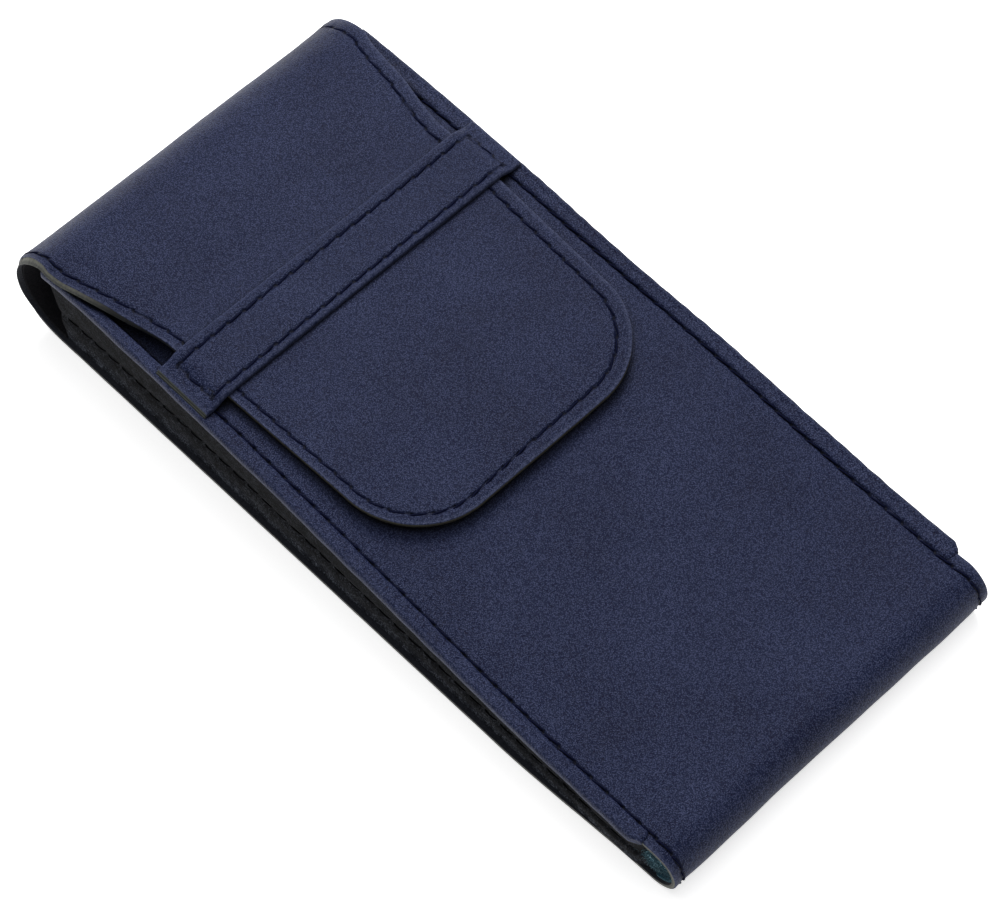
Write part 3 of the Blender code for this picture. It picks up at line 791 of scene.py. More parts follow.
for side, tag in ((-1, "left"), (1, "right")):
    P, N = strip_line(seam_x, 0.6 * MM, S_BOTTOM1 - 1.5 * MM, side)
    ob = stitches(f"stitches_front_{tag}", P, N, PHASE, THREAD, s0=0.6 * MM)
    done(ob, "case", "navy_thread", f"front_seam_{tag}")
    P, N = strip_line(seam_x, S_BOTTOM1 - 1.5 * MM, ps[-1], side, sink=0.36 * MM)
    ob = stitches(f"stitches_back_{tag}", P, N, PHASE, THREAD, s0=S_BOTTOM1 - 1.5 * MM)
    done(ob, "case", "navy_thread")

# ------------------------------------------------------------------ hems
HEM_PTS = np.array([
    (43.55, -1.00), (43.48, -0.55), (43.56, -0.16), (43.76, 0.13), (44.10, 0.34), (44.55, 0.42), (45.10, 0.40),
    (45.70, 0.43), (46.25, 0.61), (46.70, 0.66), (47.06, 0.42), (47.33, -0.05), (47.41, -0.62), (47.40, -1.05),
    (47.38, -1.38), (47.16, -1.60), (46.70, -1.68), (45.80, -1.68), (44.60, -1.66), (43.80, -1.50),
])


def closed_spline(pts, n):
    """Evenly spaced points on a closed Catmull-Rom curve."""
    p = np.asarray(pts, float)
    k = len(p)
    out = []
    for i in range(k):
        a, b, c, d = p[(i - 1) % k], p[i], p[(i + 1) % k], p[(i + 2) % k]
        t = np.linspace(0, 1, 12, endpoint=False)[:, None]
        out.append(0.5 * (2 * b + (c - a) * t + (2 * a - 5 * b + 4 * c - d) * t ** 2 + (3 * b - a - 3 * c + d) * t ** 3))
    q = np.concatenate(out)
    q2 = np.vstack([q, q[:1]])
    s = np.concatenate([[0], np.cumsum(np.hypot(*np.diff(q2, axis=0).T))])
    u = np.linspace(0, s[-1], n, endpoint=False)
    return np.stack([np.interp(u, s, q2[:, 0]), np.interp(u, s, q2[:, 1])], -1)


hem_xz = closed_spline(HEM_PTS, 44) * MM
K = len(hem_xz)
hem_c = np.array([45.4, -0.5]) * MM
for side, tag in ((-1, "left"), (1, "right")):
    ys = np.linspace(MOUTH_Y, HEM_END_Y + 0.2 * MM, 420)
    loops, rest, edge = [], [], []
    for y in ys:
        s_here = float(np.interp(y, py[: len(py) // 2][::-1], ps[: len(py) // 2][::-1]))
        end = min(y - (HEM_END_Y + 0.2 * MM), MOUTH_Y - y)
        shrink = 1.0 - 0.55 * (1 - min(1.0, end / (0.9 * MM)) ** 0.5) if end < 0.9 * MM else 1.0
        h = (0.5 + 0.5 * math.cos(2 * math.pi * (s_here - PHASE - PITCH / 2) / PITCH)) ** 2
        xz = hem_c + (hem_xz - hem_c) * shrink
        slim = float(sstep(HEM_END_Y + 3.2 * MM, HEM_END_Y + 0.2 * MM, y))
        xz = np.stack([np.minimum(xz[:, 0], HALF_W - 1.0 * MM * slim), np.clip(xz[:, 1], (-1.68 + 0.35 * slim) * MM, (0.72 - 0.38 * slim) * MM)], -1)
        rx, rz = xz[:, 0] - hem_c[0], xz[:, 1] - hem_c[1]
        rr = np.hypot(rx, rz)
        up = np.clip(rz / rr, 0, 1)
        near = np.exp(-((xz[:, 0] - 43.6 * MM) / (0.9 * MM)) ** 2)
        ang = np.arctan2(rz, rx)
        bump = (0.05 * MM * (1 - 2 * h) * up + -0.12 * MM * h * near
                + 0.05 * MM * wob(ang * 2 * MM, y, 5.5 * MM, 11 + side)
                + 0.09 * MM * wob(ang * 1 * MM, y, 26 * MM, 21 + side))
        z = float(front_z(y))
        x = xz[:, 0] + rx / rr * bump
        zz = z + xz[:, 1] + rz / rr * bump
        # the edge wanders slightly and leans out over the gusset
        x = x + 0.12 * MM * float(wob(0.0, y, 60 * MM, 31 + side))
        x = np.minimum(x, HALF_W + 0.10 * MM)
        loops.append(np.stack([side * x, np.full(K, y), zz], -1))
        rest.append(np.stack([side * (46 + np.arange(K) * 0.24), np.full(K, s_here * 1000), np.full(K, 3.0)], -1))
        # the outer slope and the lower outer corner get low edge values, so the rubbed-edge mix lightens them: wear
        # and a painted highlight
        edge.append(np.where(xz[:, 1] > -0.9 * MM, np.where(xz[:, 0] > 46.2 * MM, 0.95 if side > 0 else 0.90, 4.0), np.clip(np.abs(xz[:, 1] / MM + 1.25) * 1.1 + np.where(xz[:, 0] < 46.6 * MM, 4, 0), 0, 10)))
    raw = ((hem_xz[:, 0] > 47.2 * MM) & (hem_xz[:, 1] < -1.02 * MM)) | ((hem_xz[:, 0] > 46.9 * MM) & (hem_xz[:, 1] < -1.35 * MM))
    ob = tube_loft(f"hem_welt_{tag}", loops, [NAVY, EDGE_HEM], raw.astype(int), np.array(rest).reshape(-1, 3),
                   np.array(edge).ravel(), None, 70, True, 1)
    done(ob, "case", "navy_leather", f"hem_{tag}")

# ------------------------------------------------------------------ gussets
for side, tag in ((-1, "left"), (1, "right")):
    ys = np.linspace(GUSSET_LOW_Y - 6.0 * MM, GUSSET_HIGH_Y, 380)
    rows = 26
    v = np.linspace(0, 1, rows)
    O, Rst = [], []
    line = []
    for y in ys:
        lean = 3.8 * MM * max(0.0, (y - GUSSET_LOW_Y) / (GUSSET_HIGH_Y - GUSSET_LOW_Y)) ** 6
        low, high = LEATHER + 0.05 * MM, float(front_z(y + lean)) - 1.5 * MM
        reach = float(sstep(GUSSET_LOW_Y + 1 * MM, GUSSET_LOW_Y - 6 * MM, y))
        low, high = low + 1.4 * MM * reach, high - 1.1 * MM * reach
        z = low + (high - low) * v
        crease = -0.40 * MM * np.exp(-(((v - 0.40) / 0.05) ** 2))
        bow = -0.30 * MM * np.sin(np.pi * v) + 0.22 * MM * np.exp(-(((v - 0.28) / 0.10) ** 2))
        wav = 0.16 * MM * wob(z, y, 24 * MM, 41 + side) + 0.05 * MM * wob(z, y, 5 * MM, 43 + side)
        x = GUSSET_OUT - 0.25 * MM + bow + crease + wav * np.sin(np.pi * v) - 2.2 * MM * reach
        O.append(np.stack([side * x, y + lean * v, z], -1))
        Rst.append(np.stack([z * 1000, np.full(rows, y * 1000), np.full(rows, 7.0 + side)], -1))
        if reach < 0.01:
            line.append((side * (GUSSET_OUT - 0.62 * MM), y + lean * 0.4, low + (high - low) * 0.40))
    O = np.array(O)
    N = np.zeros_like(O)
    N[..., 0] = side
    # height up the gusset, 0 at the bottom to 1 at the top: drives the suede's painted light and shade
    E_ = v[None, :] + 0 * O[..., 0]
    ob = thick_sheet(f"gusset_suede_{tag}", O, N, 0.8 * MM, [SUEDE, SUEDE, SUEDE], np.array(Rst), E_)
    done(ob, "case", "charcoal_suede", f"gusset_{tag}")
    line = np.array(line)
    ob = stitches(f"stitches_gusset_{tag}", line, np.tile([side, 0, 0], (len(line), 1)).astype(float), 0.5 * MM, BLACK_THREAD,
                  r=0.19 * MM, rise=-0.05 * MM)
    done(ob, "case", "navy_thread")

# ------------------------------------------------------------------ strap
WARP = None
HEM_SEAT = 0.70 * MM
FLAP_SEAT = FLAP_STACK + 0.12 * MM
ST_LOW, ST_HIGH, ST_X = STRAP_LOW_Y + 1.85 * MM, STRAP_HIGH_Y - 2.7 * MM, 42.7 * MM


def strap_seat(x):
    u = (np.abs(x) - (FLAP_HALF_STRAP - 0.7 * MM)) / (4.6 * MM)
    return FLAP_SEAT + (HEM_SEAT - FLAP_SEAT) * ease(u)


def strap_h(x, y):
    """Height of the strap's face over its seat."""
    dl, dh = y - STRAP_LOW_Y, STRAP_HIGH_Y - y
    e = np.minimum(dl, dh)
    along = sstep(44.6 * MM, 42.9 * MM, np.abs(x))
    roll = (0.20 * MM * np.exp(-(((dl - 0.85 * MM) / (0.60 * MM)) ** 2))
            + 0.20 * MM * np.exp(-(((dh - 1.15 * MM) / (0.85 * MM)) ** 2))) * (0.15 + 0.85 * along)
    h = 1.12 * MM + roll
    r = 0.48 * MM
    t = np.clip(r - e, 0, r)
    h = h - (r - np.sqrt(np.maximum(r * r - t * t, 0)))
    inside = (np.abs(x) < ST_X + 0.4 * MM)
    outside_x = np.clip(np.abs(x) - ST_X, 0, None)
    h += stitch_pull(np.hypot(y - ST_LOW, outside_x), x, 0.4 * MM, 0.15 * MM, 0.16 * MM, 0.34 * MM)
    h += stitch_pull(np.hypot(y - ST_HIGH, outside_x), x, 1.1 * MM, 0.17 * MM, 0.16 * MM, 0.36 * MM)
    out_y = np.clip(ST_LOW - y, 0, None) + np.clip(y - ST_HIGH, 0, None)
    h += stitch_pull(np.hypot(np.abs(x) - ST_X, out_y), y, ST_LOW + 0.9 * MM, 0.15 * MM, 0.16 * MM, 0.34 * MM)
    cx = np.clip(1 - np.abs(x) / (41 * MM), 0, 1) ** 0.5
    mid_ = sstep(1.9 * MM, 4.2 * MM, dl) * sstep(2.8 * MM, 5.2 * MM, dh)
    h += 0.10 * MM * mid_ * cx + 0.07 * MM * wob(x, y, 17 * MM, 51) + 0.03 * MM * wob(x, y, 5 * MM, 52)
    ex = STRAP_HALF - np.abs(x)
    return h + edge_round(ex, 0.22 * MM)


t = np.linspace(0, 1, 12) ** 1.3
sx_edge = STRAP_HALF - 5.6 * MM * t
xs = np.concatenate([-sx_edge, np.arange(-40.4, 40.5, 0.42) * MM, sx_edge[::-1]])
ey = np.array([0, 0.06, 0.14, 0.24, 0.36, 0.5, 0.65, 0.82, 1.0, 1.18, 1.36, 1.54, 1.7, 1.85, 2.0, 2.16, 2.35, 2.6, 3.0, 3.6, 4.4]) * MM
eh = np.array([0, 0.06, 0.14, 0.24, 0.36, 0.5, 0.7, 0.95, 1.2, 1.45, 1.7, 1.95, 2.15, 2.33, 2.5, 2.66, 2.82, 3.0, 3.2, 3.5, 4.0, 4.8]) * MM
syy = np.concatenate([STRAP_LOW_Y + ey, np.linspace(STRAP_LOW_Y + 4.4 * MM, STRAP_HIGH_Y - 4.8 * MM, 8)[1:-1], (STRAP_HIGH_Y - eh)[::-1]])
XX, YY = np.meshgrid(xs, syy, indexing="ij")
wave = 0.16 * MM * wob(XX, 0 * XX, 45 * MM, 55)
YW = YY + wave
ZS = front_z(YY) + strap_seat(XX)
top = ZS + strap_h(XX, YY)
under = ZS + 0.02 * MM
O = np.stack([XX, YW, top], -1)
slant_end = 0.38 * MM * sstep(STRAP_HALF - 0.9 * MM, STRAP_HALF, np.abs(XX)) * (XX < 0)
O[..., 0] += 0.30 * MM * sstep(STRAP_HALF - 0.9 * MM, STRAP_HALF, np.abs(XX)) * (XX < 0)
I = np.stack([XX - slant_end, YW, np.minimum(under, top - 0.3 * MM) - 0.15 * slant_end], -1)
N = np.zeros_like(O)
N[..., 2] = 1
rest = np.stack([XX * 1000, YY * 1000, np.full_like(XX, 20.0)], -1)
# distance to the ends and the long edges: the leather's rubbed-edge mix lays wear and a painted highlight along the
# rims
E_ = np.minimum(STRAP_HALF - np.abs(XX), np.minimum(YY - STRAP_LOW_Y, STRAP_HIGH_Y - YY) + 0.15 * MM) * 1000
nvs, nus = XX.shape
ax = np.abs(XX)
d_low, d_high, d_end = YY - ST_LOW, YY - ST_HIGH, np.sign(XX) * (ax - ST_X)
in_x, in_y = ax < ST_X + 0.5 * MM, (YY > ST_LOW - 0.5 * MM) & (YY < ST_HIGH + 0.5 * MM)
use_end = in_y & (np.abs(d_end) < 1.2 * MM) & (np.abs(d_low) > np.abs(d_end)) & (np.abs(d_high) > np.abs(d_end))
use_low = ~use_end & (np.abs(d_low) < 2.4 * MM) & in_x
use_high = ~use_end & ~use_low & (np.abs(d_high) < 2.4 * MM) & in_x
dcs = np.where(use_end, -d_end, np.where(use_low, d_low, np.where(use_high, d_high, 50 * MM)))
ucs = np.where(use_end, (YY - ST_LOW - 0.9 * MM) / PITCH + 0.5, np.where(use_low, (XX - 0.4 * MM) / PITCH + 0.5, (XX - 1.1 * MM) / PITCH + 0.5))
seam_v = np.stack([dcs / MM, ucs, (use_end | use_low | use_high).astype(float)], -1)
ob = thick_sheet("strap_leather", O, N, 1.0 * MM, [NAVY, NAVY, NAVY_IN, EDGE_LAYERS], rest, E_, inner_h=I, seam=seam_v)
mi = np.zeros(len(ob.data.polygons), np.int32)
ob.data.polygons.foreach_get("material_index", mi)
cen = np.zeros(len(ob.data.polygons) * 3)
ob.data.polygons.foreach_get("center", cen)
cen = cen.reshape(-1, 3)
mi[(mi == 1) & (np.abs(cen[:, 0]) > STRAP_HALF - 0.05 * MM)] = 3
ob.data.polygons.foreach_set("material_index", mi)
done(ob, "case", "navy_leather", "strap")


def strap_line(pts):
    pts = np.array(pts)
    x, y = pts[:, 0], pts[:, 1]
    e = 0.25 * MM
    base = lambda a, b: front_z(b) + strap_seat(a) + 1.12 * MM - 0.09 * MM
    gx = (base(x + e, y) - base(x - e, y)) / (2 * e)
    n = np.stack([-gx, 0 * x, 1 + 0 * x], -1)
    n /= np.linalg.norm(n, axis=1)[:, None]
    return np.stack([x, y + 0.16 * MM * wob(x, 0 * x, 45 * MM, 55), base(x, y)], -1), n


lx = np.arange(-ST_X, ST_X + 1e-9, 0.3 * MM)
P, N = strap_line([(x, ST_LOW) for x in lx])
sa = stitches("stitches_strap_low", P, N, 0.4 * MM, THREAD, s0=-ST_X)
done(sa, "case", "navy_thread", "strap_seam")
P, N = strap_line([(x, ST_HIGH) for x in lx])
done(stitches("stitches_strap_high", P, N, 1.1 * MM, THREAD, s0=-ST_X), "case", "navy_thread")
ly = np.arange(ST_LOW, ST_HIGH + 1e-9, 0.3 * MM)
for side, tag in ((-1, "left"), (1, "right")):
    P, N = strap_line([(side * ST_X, y) for y in ly])
    done(stitches(f"stitches_strap_{tag}", P, N, ST_LOW + 0.9 * MM, THREAD, s0=ST_LOW, length=3.4 * MM), "case", "navy_thread")

# ------------------------------------------------------------------ flap and tongue: outline rings and a filled middle
RINGS = np.array([0, .06, .13, .21, .30, .42, .58, .80, 1.1, 1.45, 1.8, 2.1, 2.35, 2.55, 2.72, 2.88, 3.02, 3.16, 3.30,
                  3.44, 3.58, 3.72, 3.88, 4.05, 4.3, 4.7, 5.3, 6.2, 7.4]) * MM


def flap_plan(inset=0.0, rings=RINGS):
    """All vertices of the flap in plan: ring part (R, M, 2), middle part (m, nb, 2), and arc lengths."""
    hp, hn, m = half_outline(inset)
    M = 2 * len(hp) - 1
    # full outline from top right down, round the tip, up to top left
    right = hp
    left = hp[::-1][1:] * np.array([-1, 1])
    full = np.concatenate([right, left])
    nr = np.concatenate([hn, hn[::-1][1:] * np.array([-1, 1])])
    R = full[None] + nr[None] * rings[:, None, None]
    inner = R[-1]
    m2 = m                                    # rows of the middle: 0..m2
    bottom = inner[m2: M - m2]                # from right corner to left corner
    nb = len(bottom)
    xi = bottom[:, 0] / bottom[0, 0]
    rows = []
    y_m = bottom[0, 1]
    dy = bottom[:, 1] - y_m
    for i in range(m2 + 1):
        xr, yr = inner[i]
        g = np.clip((i - (m2 - 70)) / 70.0, 0, 1) ** 2
        rows.append(np.stack([xr * xi, yr + dy * g], -1))
    return R, np.array(rows), full, nr, m2


def flap_skin(x, y):
    """Height of the flap's skin with its sag, lift and unevenness."""
    z = flap_z(y)
    tip = sstep(STRAP_LOW_Y - 1 * MM, TONGUE_TIP_Y, y)
    hwid = flap_half(y)
    side = np.clip(np.abs(x) / hwid, 0, 1)
    z = z + 1.10 * MM * tip + 0.45 * MM * tip * side ** 3
    free = sstep(STRAP_HIGH_Y + 0.5 * MM, STRAP_HIGH_Y + 9 * MM, y) * sstep(FLAP_TOP_Y, FLAP_TOP_Y - 8 * MM, y)
    z = z + free * (0.28 * MM * wob(x, y, 46 * MM, 61) - 0.30 * MM * side ** 4)
    z = z + tip * 0.16 * MM * wob(x, y, 30 * MM, 62)
    z = z + 0.03 * MM * wob(x, y, 8 * MM, 63) * (free + tip)
    return z


def flap_sheet(name, inset, drop, thick, mats, detail, ring_step=1):
    rings = RINGS[::ring_step] if ring_step > 1 else RINGS
    R, mid_rows, full, nr, m2 = flap_plan(inset, rings)
    Rn, M = R.shape[:2]
    # arc length along the stitch line from each end, mirrored so that both sides match
    s_line = arc_len(full + nr * (SEAM_INSET - inset))
    line = full + nr * (inset_at(full[:, 0])[:, None] - inset)
    s_line = np.minimum(s_line, s_line[-1] - s_line) + FLAP_S0
    verts2 = [R.reshape(-1, 2)]
    d = np.repeat(rings + inset, M).reshape(Rn, M)
    s_ring = np.repeat(s_line[None], Rn, 0)
    ring_idx = np.arange(Rn * M).reshape(Rn, M)
    m_rows, nb = mid_rows.shape[:2]
    base = Rn * M
    mid_idx = np.full((m_rows, nb), -1)
    new = []
    inner_ring = ring_idx[-1]
    for i in range(m_rows):
        for j in range(nb):
            if i == m_rows - 1:
                mid_idx[i, j] = inner_ring[m2 + j]
            elif j == 0:
                mid_idx[i, j] = inner_ring[i]
            elif j == nb - 1:
                mid_idx[i, j] = inner_ring[M - 1 - i]
            else:
                mid_idx[i, j] = base + len(new)
                new.append(mid_rows[i, j])
    V2 = np.concatenate([R.reshape(-1, 2), np.array(new)])
    dd = np.concatenate([d.ravel(), np.full(len(new), 12 * MM)])
    ss = np.concatenate([s_ring.ravel(), np.zeros(len(new))])
    x, y = V2[:, 0], V2[:, 1]
    z = flap_skin(x, y) - drop
    if detail:
        ins = inset_at(x)
        h = np.where(dd < 8 * MM, stitch_pull(dd - ins, ss, FLAP_PHASE), 0)
        h = h + edge_round(dd, 0.20 * MM)
        h = h + 0.10 * MM * np.exp(-(((dd - 1.6 * MM) / (0.9 * MM)) ** 2))
    else:
        h = edge_round(dd - inset, 0.15 * MM)
    top_z = z + h
    low_z = z - thick - edge_round(dd - inset, 0.10 * MM)
    n = len(V2)
    k = left_bevel(x, y, z, dd) if detail else 0.0
    V = np.concatenate([np.stack([x + 0.35 * MM * k, y, top_z - 0.10 * MM * k], -1), np.stack([x - 0.50 * MM * k, y, low_z - 0.20 * MM * k], -1)])
    faces = []
    i, j = np.meshgrid(np.arange(Rn - 1), np.arange(M - 1), indexing="ij")
    a = ring_idx[i, j]; b = ring_idx[i, j + 1]; c = ring_idx[i + 1, j + 1]; e = ring_idx[i + 1, j]
    fr = np.stack([a, b, c, e], -1).reshape(-1, 4)
    i, j = np.meshgrid(np.arange(m_rows - 1), np.arange(nb - 1), indexing="ij")
    a = mid_idx[i, j]; b = mid_idx[i + 1, j]; c = mid_idx[i + 1, j + 1]; e = mid_idx[i, j + 1]
    fm = np.stack([a, b, c, e], -1).reshape(-1, 4)

    def up(f):
        p = V[f[:, 0]]
        nrm = np.cross(V[f[:, 1]] - p, V[f[:, 2]] - p) + np.cross(V[f[:, 2]] - p, V[f[:, 3]] - p)
        bad = nrm[:, 2] < 0
        f = f.copy()
        f[bad] = f[bad][:, ::-1]
        return f

    fo = up(np.concatenate([fr, fm]))
    fi = fo[:, ::-1] + n
    # border loop: outline, then across the top
    top_left = ring_idx[:, M - 1]
    top_right = ring_idx[:, 0]
    loop = np.concatenate([ring_idx[0], top_left[1:], mid_idx[0][::-1][1:-1], top_right[::-1][:-1]])
    nxt = np.roll(loop, -1)
    sides = np.stack([loop, nxt, nxt + n, loop + n], -1)
    p = V[sides[:, 0]]
    nrm = np.cross(V[sides[:, 1]] - p, V[sides[:, 3]] - p)
    ctr = np.array([0.0, 0.03, 0.0])
    q = sides[len(ring_idx[0]) // 2]
    pn = np.cross(V[q[1]] - V[q[0]], V[q[3]] - V[q[0]])
    if pn[1] > 0:
        sides = sides[:, ::-1]
    faces = np.concatenate([fo, fi, sides])
    mi = np.concatenate([np.zeros(len(fo)), np.full(len(fi), 2), np.where(y[loop] > 47 * MM, len(mats) - 1, 1)])
    rest1 = np.stack([x * 1000, y * 1000, np.full(n, 30.0)], -1)
    rest2 = rest1 + np.array([0, 0, 1.2])
    ed = np.concatenate([dd, dd]) * 1000
    side = np.where(x >= 0, -1.0, 1.0)
    near = (dd < 8 * MM).astype(float)
    seam_v = np.stack([side * (dd - inset_at(x)) / MM, (ss - FLAP_PHASE) / PITCH + 0.5, near], -1) if detail else None
    if detail:
        # the two halves meet at the middle of the tip, where both channels are in the same phase
        seam_v[:, 0] = np.where(near > 0, seam_v[:, 0], 50.0)
    ob = make(name, V, faces, mats, mi, np.concatenate([rest1, rest2]), ed, np.concatenate([np.zeros(n), np.ones(n)]), seam=seam_v)
    return ob, line, s_line


WARP = warp_fold
# the tongue's cut edge takes the darker copy (painted shade); the flap's upper sides take the plain cut edge
ob, seam_line, seam_s = flap_sheet("flap_and_tongue", 0.0, 0.0, LEATHER, [NAVY, EDGE_SHADED, NAVY_IN, EDGE], True)
done(ob, "flap", "navy_leather", "flap_leather", "tongue_leather")
ob, _, _ = flap_sheet("flap_and_tongue_facing", 1.9 * MM, LEATHER + 0.05 * MM, LINING, [FACING, FACING, FACING], False, 2)
done(ob, "flap", "charcoal_suede", "flap_facing", "tongue_facing")

half = len(seam_line) // 2 + 1
for side, tag in ((1, "right"), (-1, "left")):
    L2 = seam_line[:half] if side > 0 else seam_line[::-1][:half]
    z = flap_skin(L2[:, 0], L2[:, 1]) - 0.12 * MM
    P = np.stack([L2[:, 0], L2[:, 1], z], -1)
    sl = np.gradient(z) / np.maximum(1e-9, np.linalg.norm(np.gradient(L2, axis=0), axis=1))
    t2 = np.gradient(L2, axis=0)
    t2 /= np.linalg.norm(t2, axis=1)[:, None]
    N = np.stack([-sl * t2[:, 0], -sl * t2[:, 1], np.ones(len(z))], -1)
    N /= np.linalg.norm(N, axis=1)[:, None]
    ob = stitches(f"stitches_flap_{tag}", P, N, FLAP_PHASE, THREAD, s0=FLAP_S0)
    names = (f"flap_seam_{tag}", "tongue_seam") if tag == "right" else (f"flap_seam_{tag}",)
    done(ob, "flap", "navy_thread", *names)

# ------------------------------------------------------------------ top fold in three lengths
A1, A2 = math.radians(45), math.radians(127)


def strip_path(s):
    """Skin of the strip from the back (s < 0) over the fold (0..FOLD_LEN) to the flap."""
    s = np.asarray(s, float)
    a = np.interp(s, FOLD_S, fold_a)
    y, z = fold_point(a)
    oy, oz = fold_out(a)
    y = np.where(s < 0, FOLD_Y + s, y)
    z = np.where(s < 0, 0.0, z)
    oy = np.where(s < 0, 0.0, oy)
    oz = np.where(s < 0, -1.0, oz)
    over = s > FOLD_LEN
    yf = FOLD_Y - (s - FOLD_LEN)
    y = np.where(over, yf, y)
    z = np.where(over, flap_z(yf), z)
    sl = (flap_z(yf + 0.1 * MM) - flap_z(yf - 0.1 * MM)) / (0.2 * MM)
    q = np.hypot(1, sl)
    oy = np.where(over, -sl / q, oy)
    oz = np.where(over, 1 / q, oz)
    return y, z, oy, oz


def s_of_angle(a):
    return float(np.interp(a, fold_a, FOLD_S))


def fold_piece(name, s_from, s_to, inset, depth, thick, mats, detail):
    n = max(12, int(round((s_to - s_from) / (0.5 * MM))) + 1)
    s = np.linspace(s_from, s_to, n)
    y, z, oy, oz = strip_path(s)
    half_w = np.where(y < FOLD_Y, np.where(s > FOLD_LEN, flap_half(y), HALF_W), HALF_W) - inset
    rings = RINGS
    rows = []
    for hwid in half_w:
        right = hwid - rings
        m_ = np.linspace(-right[-1], right[-1], 40)[1:-1]
        rows.append(np.concatenate([-right, m_, right[::-1]]))
    Xf = np.array(rows)
    Sf = np.repeat(s[:, None], Xf.shape[1], 1)
    Ef = half_w[:, None] - np.abs(Xf)
    if detail:
        ins = inset_at(Xf)
        h = stitch_pull(Ef - ins, Sf, FLAP_PHASE)
        h += edge_round(Ef, 0.20 * MM)
        h += 0.10 * MM * np.exp(-(((Ef - 1.6 * MM) / (0.9 * MM)) ** 2))
        free = sstep(2 * MM, 8 * MM, Sf) * sstep(FLAP_S0, FLAP_S0 - 9 * MM, Sf)
        h += free * (0.12 * MM * wob(Xf, Sf, 40 * MM, 71) + 0.035 * MM * wob(Xf, Sf, 8 * MM, 72))
        h += -0.05 * MM * (1 - sstep(-2 * MM, 3 * MM, Sf))
    else:
        h = edge_round(Ef, 0.15 * MM)
    base = np.stack([Xf, np.repeat(y[:, None], Xf.shape[1], 1), np.repeat(z[:, None], Xf.shape[1], 1)], -1)
    Nf = np.stack([np.zeros_like(Xf), np.repeat(oy[:, None], Xf.shape[1], 1), np.repeat(oz[:, None], Xf.shape[1], 1)], -1)
    base = base - Nf * depth
    O = base + Nf * h[..., None]
    I = base - Nf * (thick + edge_round(Ef, 0.2 * MM)[..., None])
    if detail:
        k = left_bevel(Xf, O[..., 1], O[..., 2], Ef)
        O[..., 0] += (0.35 + 0.65 * sstep(86 * MM, 95 * MM, O[..., 1])) * MM * k
        O -= Nf * (0.10 * MM * k)[..., None]
        I[..., 0] -= 0.50 * MM * k
        I -= Nf * (0.20 * MM * k)[..., None]
    rest = np.stack([Xf * 1000, (Sf * 1000), np.full_like(Xf, 40.0)], -1)
    dc = np.sign(Xf) * ((inset_at(Xf)) - Ef)
    seam_v = np.stack([dc / MM, (Sf - FLAP_PHASE) / PITCH + 0.5, (np.abs(dc) < 4.2 * MM).astype(float)], -1) if detail else None
    return thick_sheet(name, O, Nf, thick, mats, rest, (Ef + inset) * 1000, inner_h=I, seam=seam_v)


def skin_at(s, depth=0.0):
    y, z, oy, oz = strip_path(s)
    return (0.0, float(y - oy * depth), float(z - oz * depth))


SA, SB = s_of_angle(A1), s_of_angle(A2)
BACK_S = back_end - FOLD_Y
ZONES = [
    ("a", "case", "fold_lower", BACK_S, SA),
    ("b", "fold_lower", "fold_upper", SA, SB),
    ("c", "fold_upper", "flap", SB, FLAP_S0 - 0.3 * MM),
]
LEATHER_NODES = {"a": ("fold_lower_leather",), "b": ("fold_upper_leather",), "c": ()}
FACING_NODES = {"a": ("fold_lower_facing",), "b": ("fold_upper_facing",), "c": ()}
for tag, body_a, body_b, s0_, s1_ in ZONES:
    start, end = skin_at(s0_), skin_at(s1_)
    ob = fold_piece(f"top_fold_leather_{tag}", s0_, s1_, 0.0, 0.0, LEATHER, [NAVY, EDGE, NAVY_IN], True)
    bent(ob, body_a, body_b, start, end, "navy_leather", *LEATHER_NODES[tag])
    f0 = max(s0_, 0.1 * MM)
    ob = fold_piece(f"top_fold_facing_{tag}", f0, s1_, 0.9 * MM, LEATHER + 0.05 * MM, LINING, [FACING, FACING, FACING], False)
    bent(ob, body_a, body_b, start, end, "charcoal_suede", *FACING_NODES[tag])
    for side, lr in ((-1, "left"), (1, "right")):
        sl = np.arange(s0_ - 2.5 * MM, s1_ + 2.5 * MM, 0.25 * MM)
        y, z, oy, oz = strip_path(sl)
        hwf = np.where(sl > FOLD_LEN, flap_half(y), HALF_W) - float(inset_at(side * 47 * MM))
        P = np.stack([side * hwf, y - oy * 0.12 * MM, z - oz * 0.12 * MM], -1)
        N = np.stack([0 * sl, oy, oz], -1)
        nodes = {"a": (f"fold_lower_seam_{lr}",), "b": (f"fold_upper_seam_{lr}",), "c": ()}[tag]
        i0 = math.ceil((s0_ - FLAP_PHASE) / PITCH - 1e-6)
        i1 = math.ceil((s1_ - FLAP_PHASE) / PITCH - 1e-6) - 1
        ob = stitches(f"stitches_fold_{tag}_{lr}", P, N, FLAP_PHASE, THREAD, s0=float(sl[0]),
                      first=FLAP_PHASE + (i0 - 0.2) * PITCH, last=FLAP_PHASE + (i1 + 0.2) * PITCH)
        bent(ob, body_a, body_b, start, end, "navy_thread", *nodes)

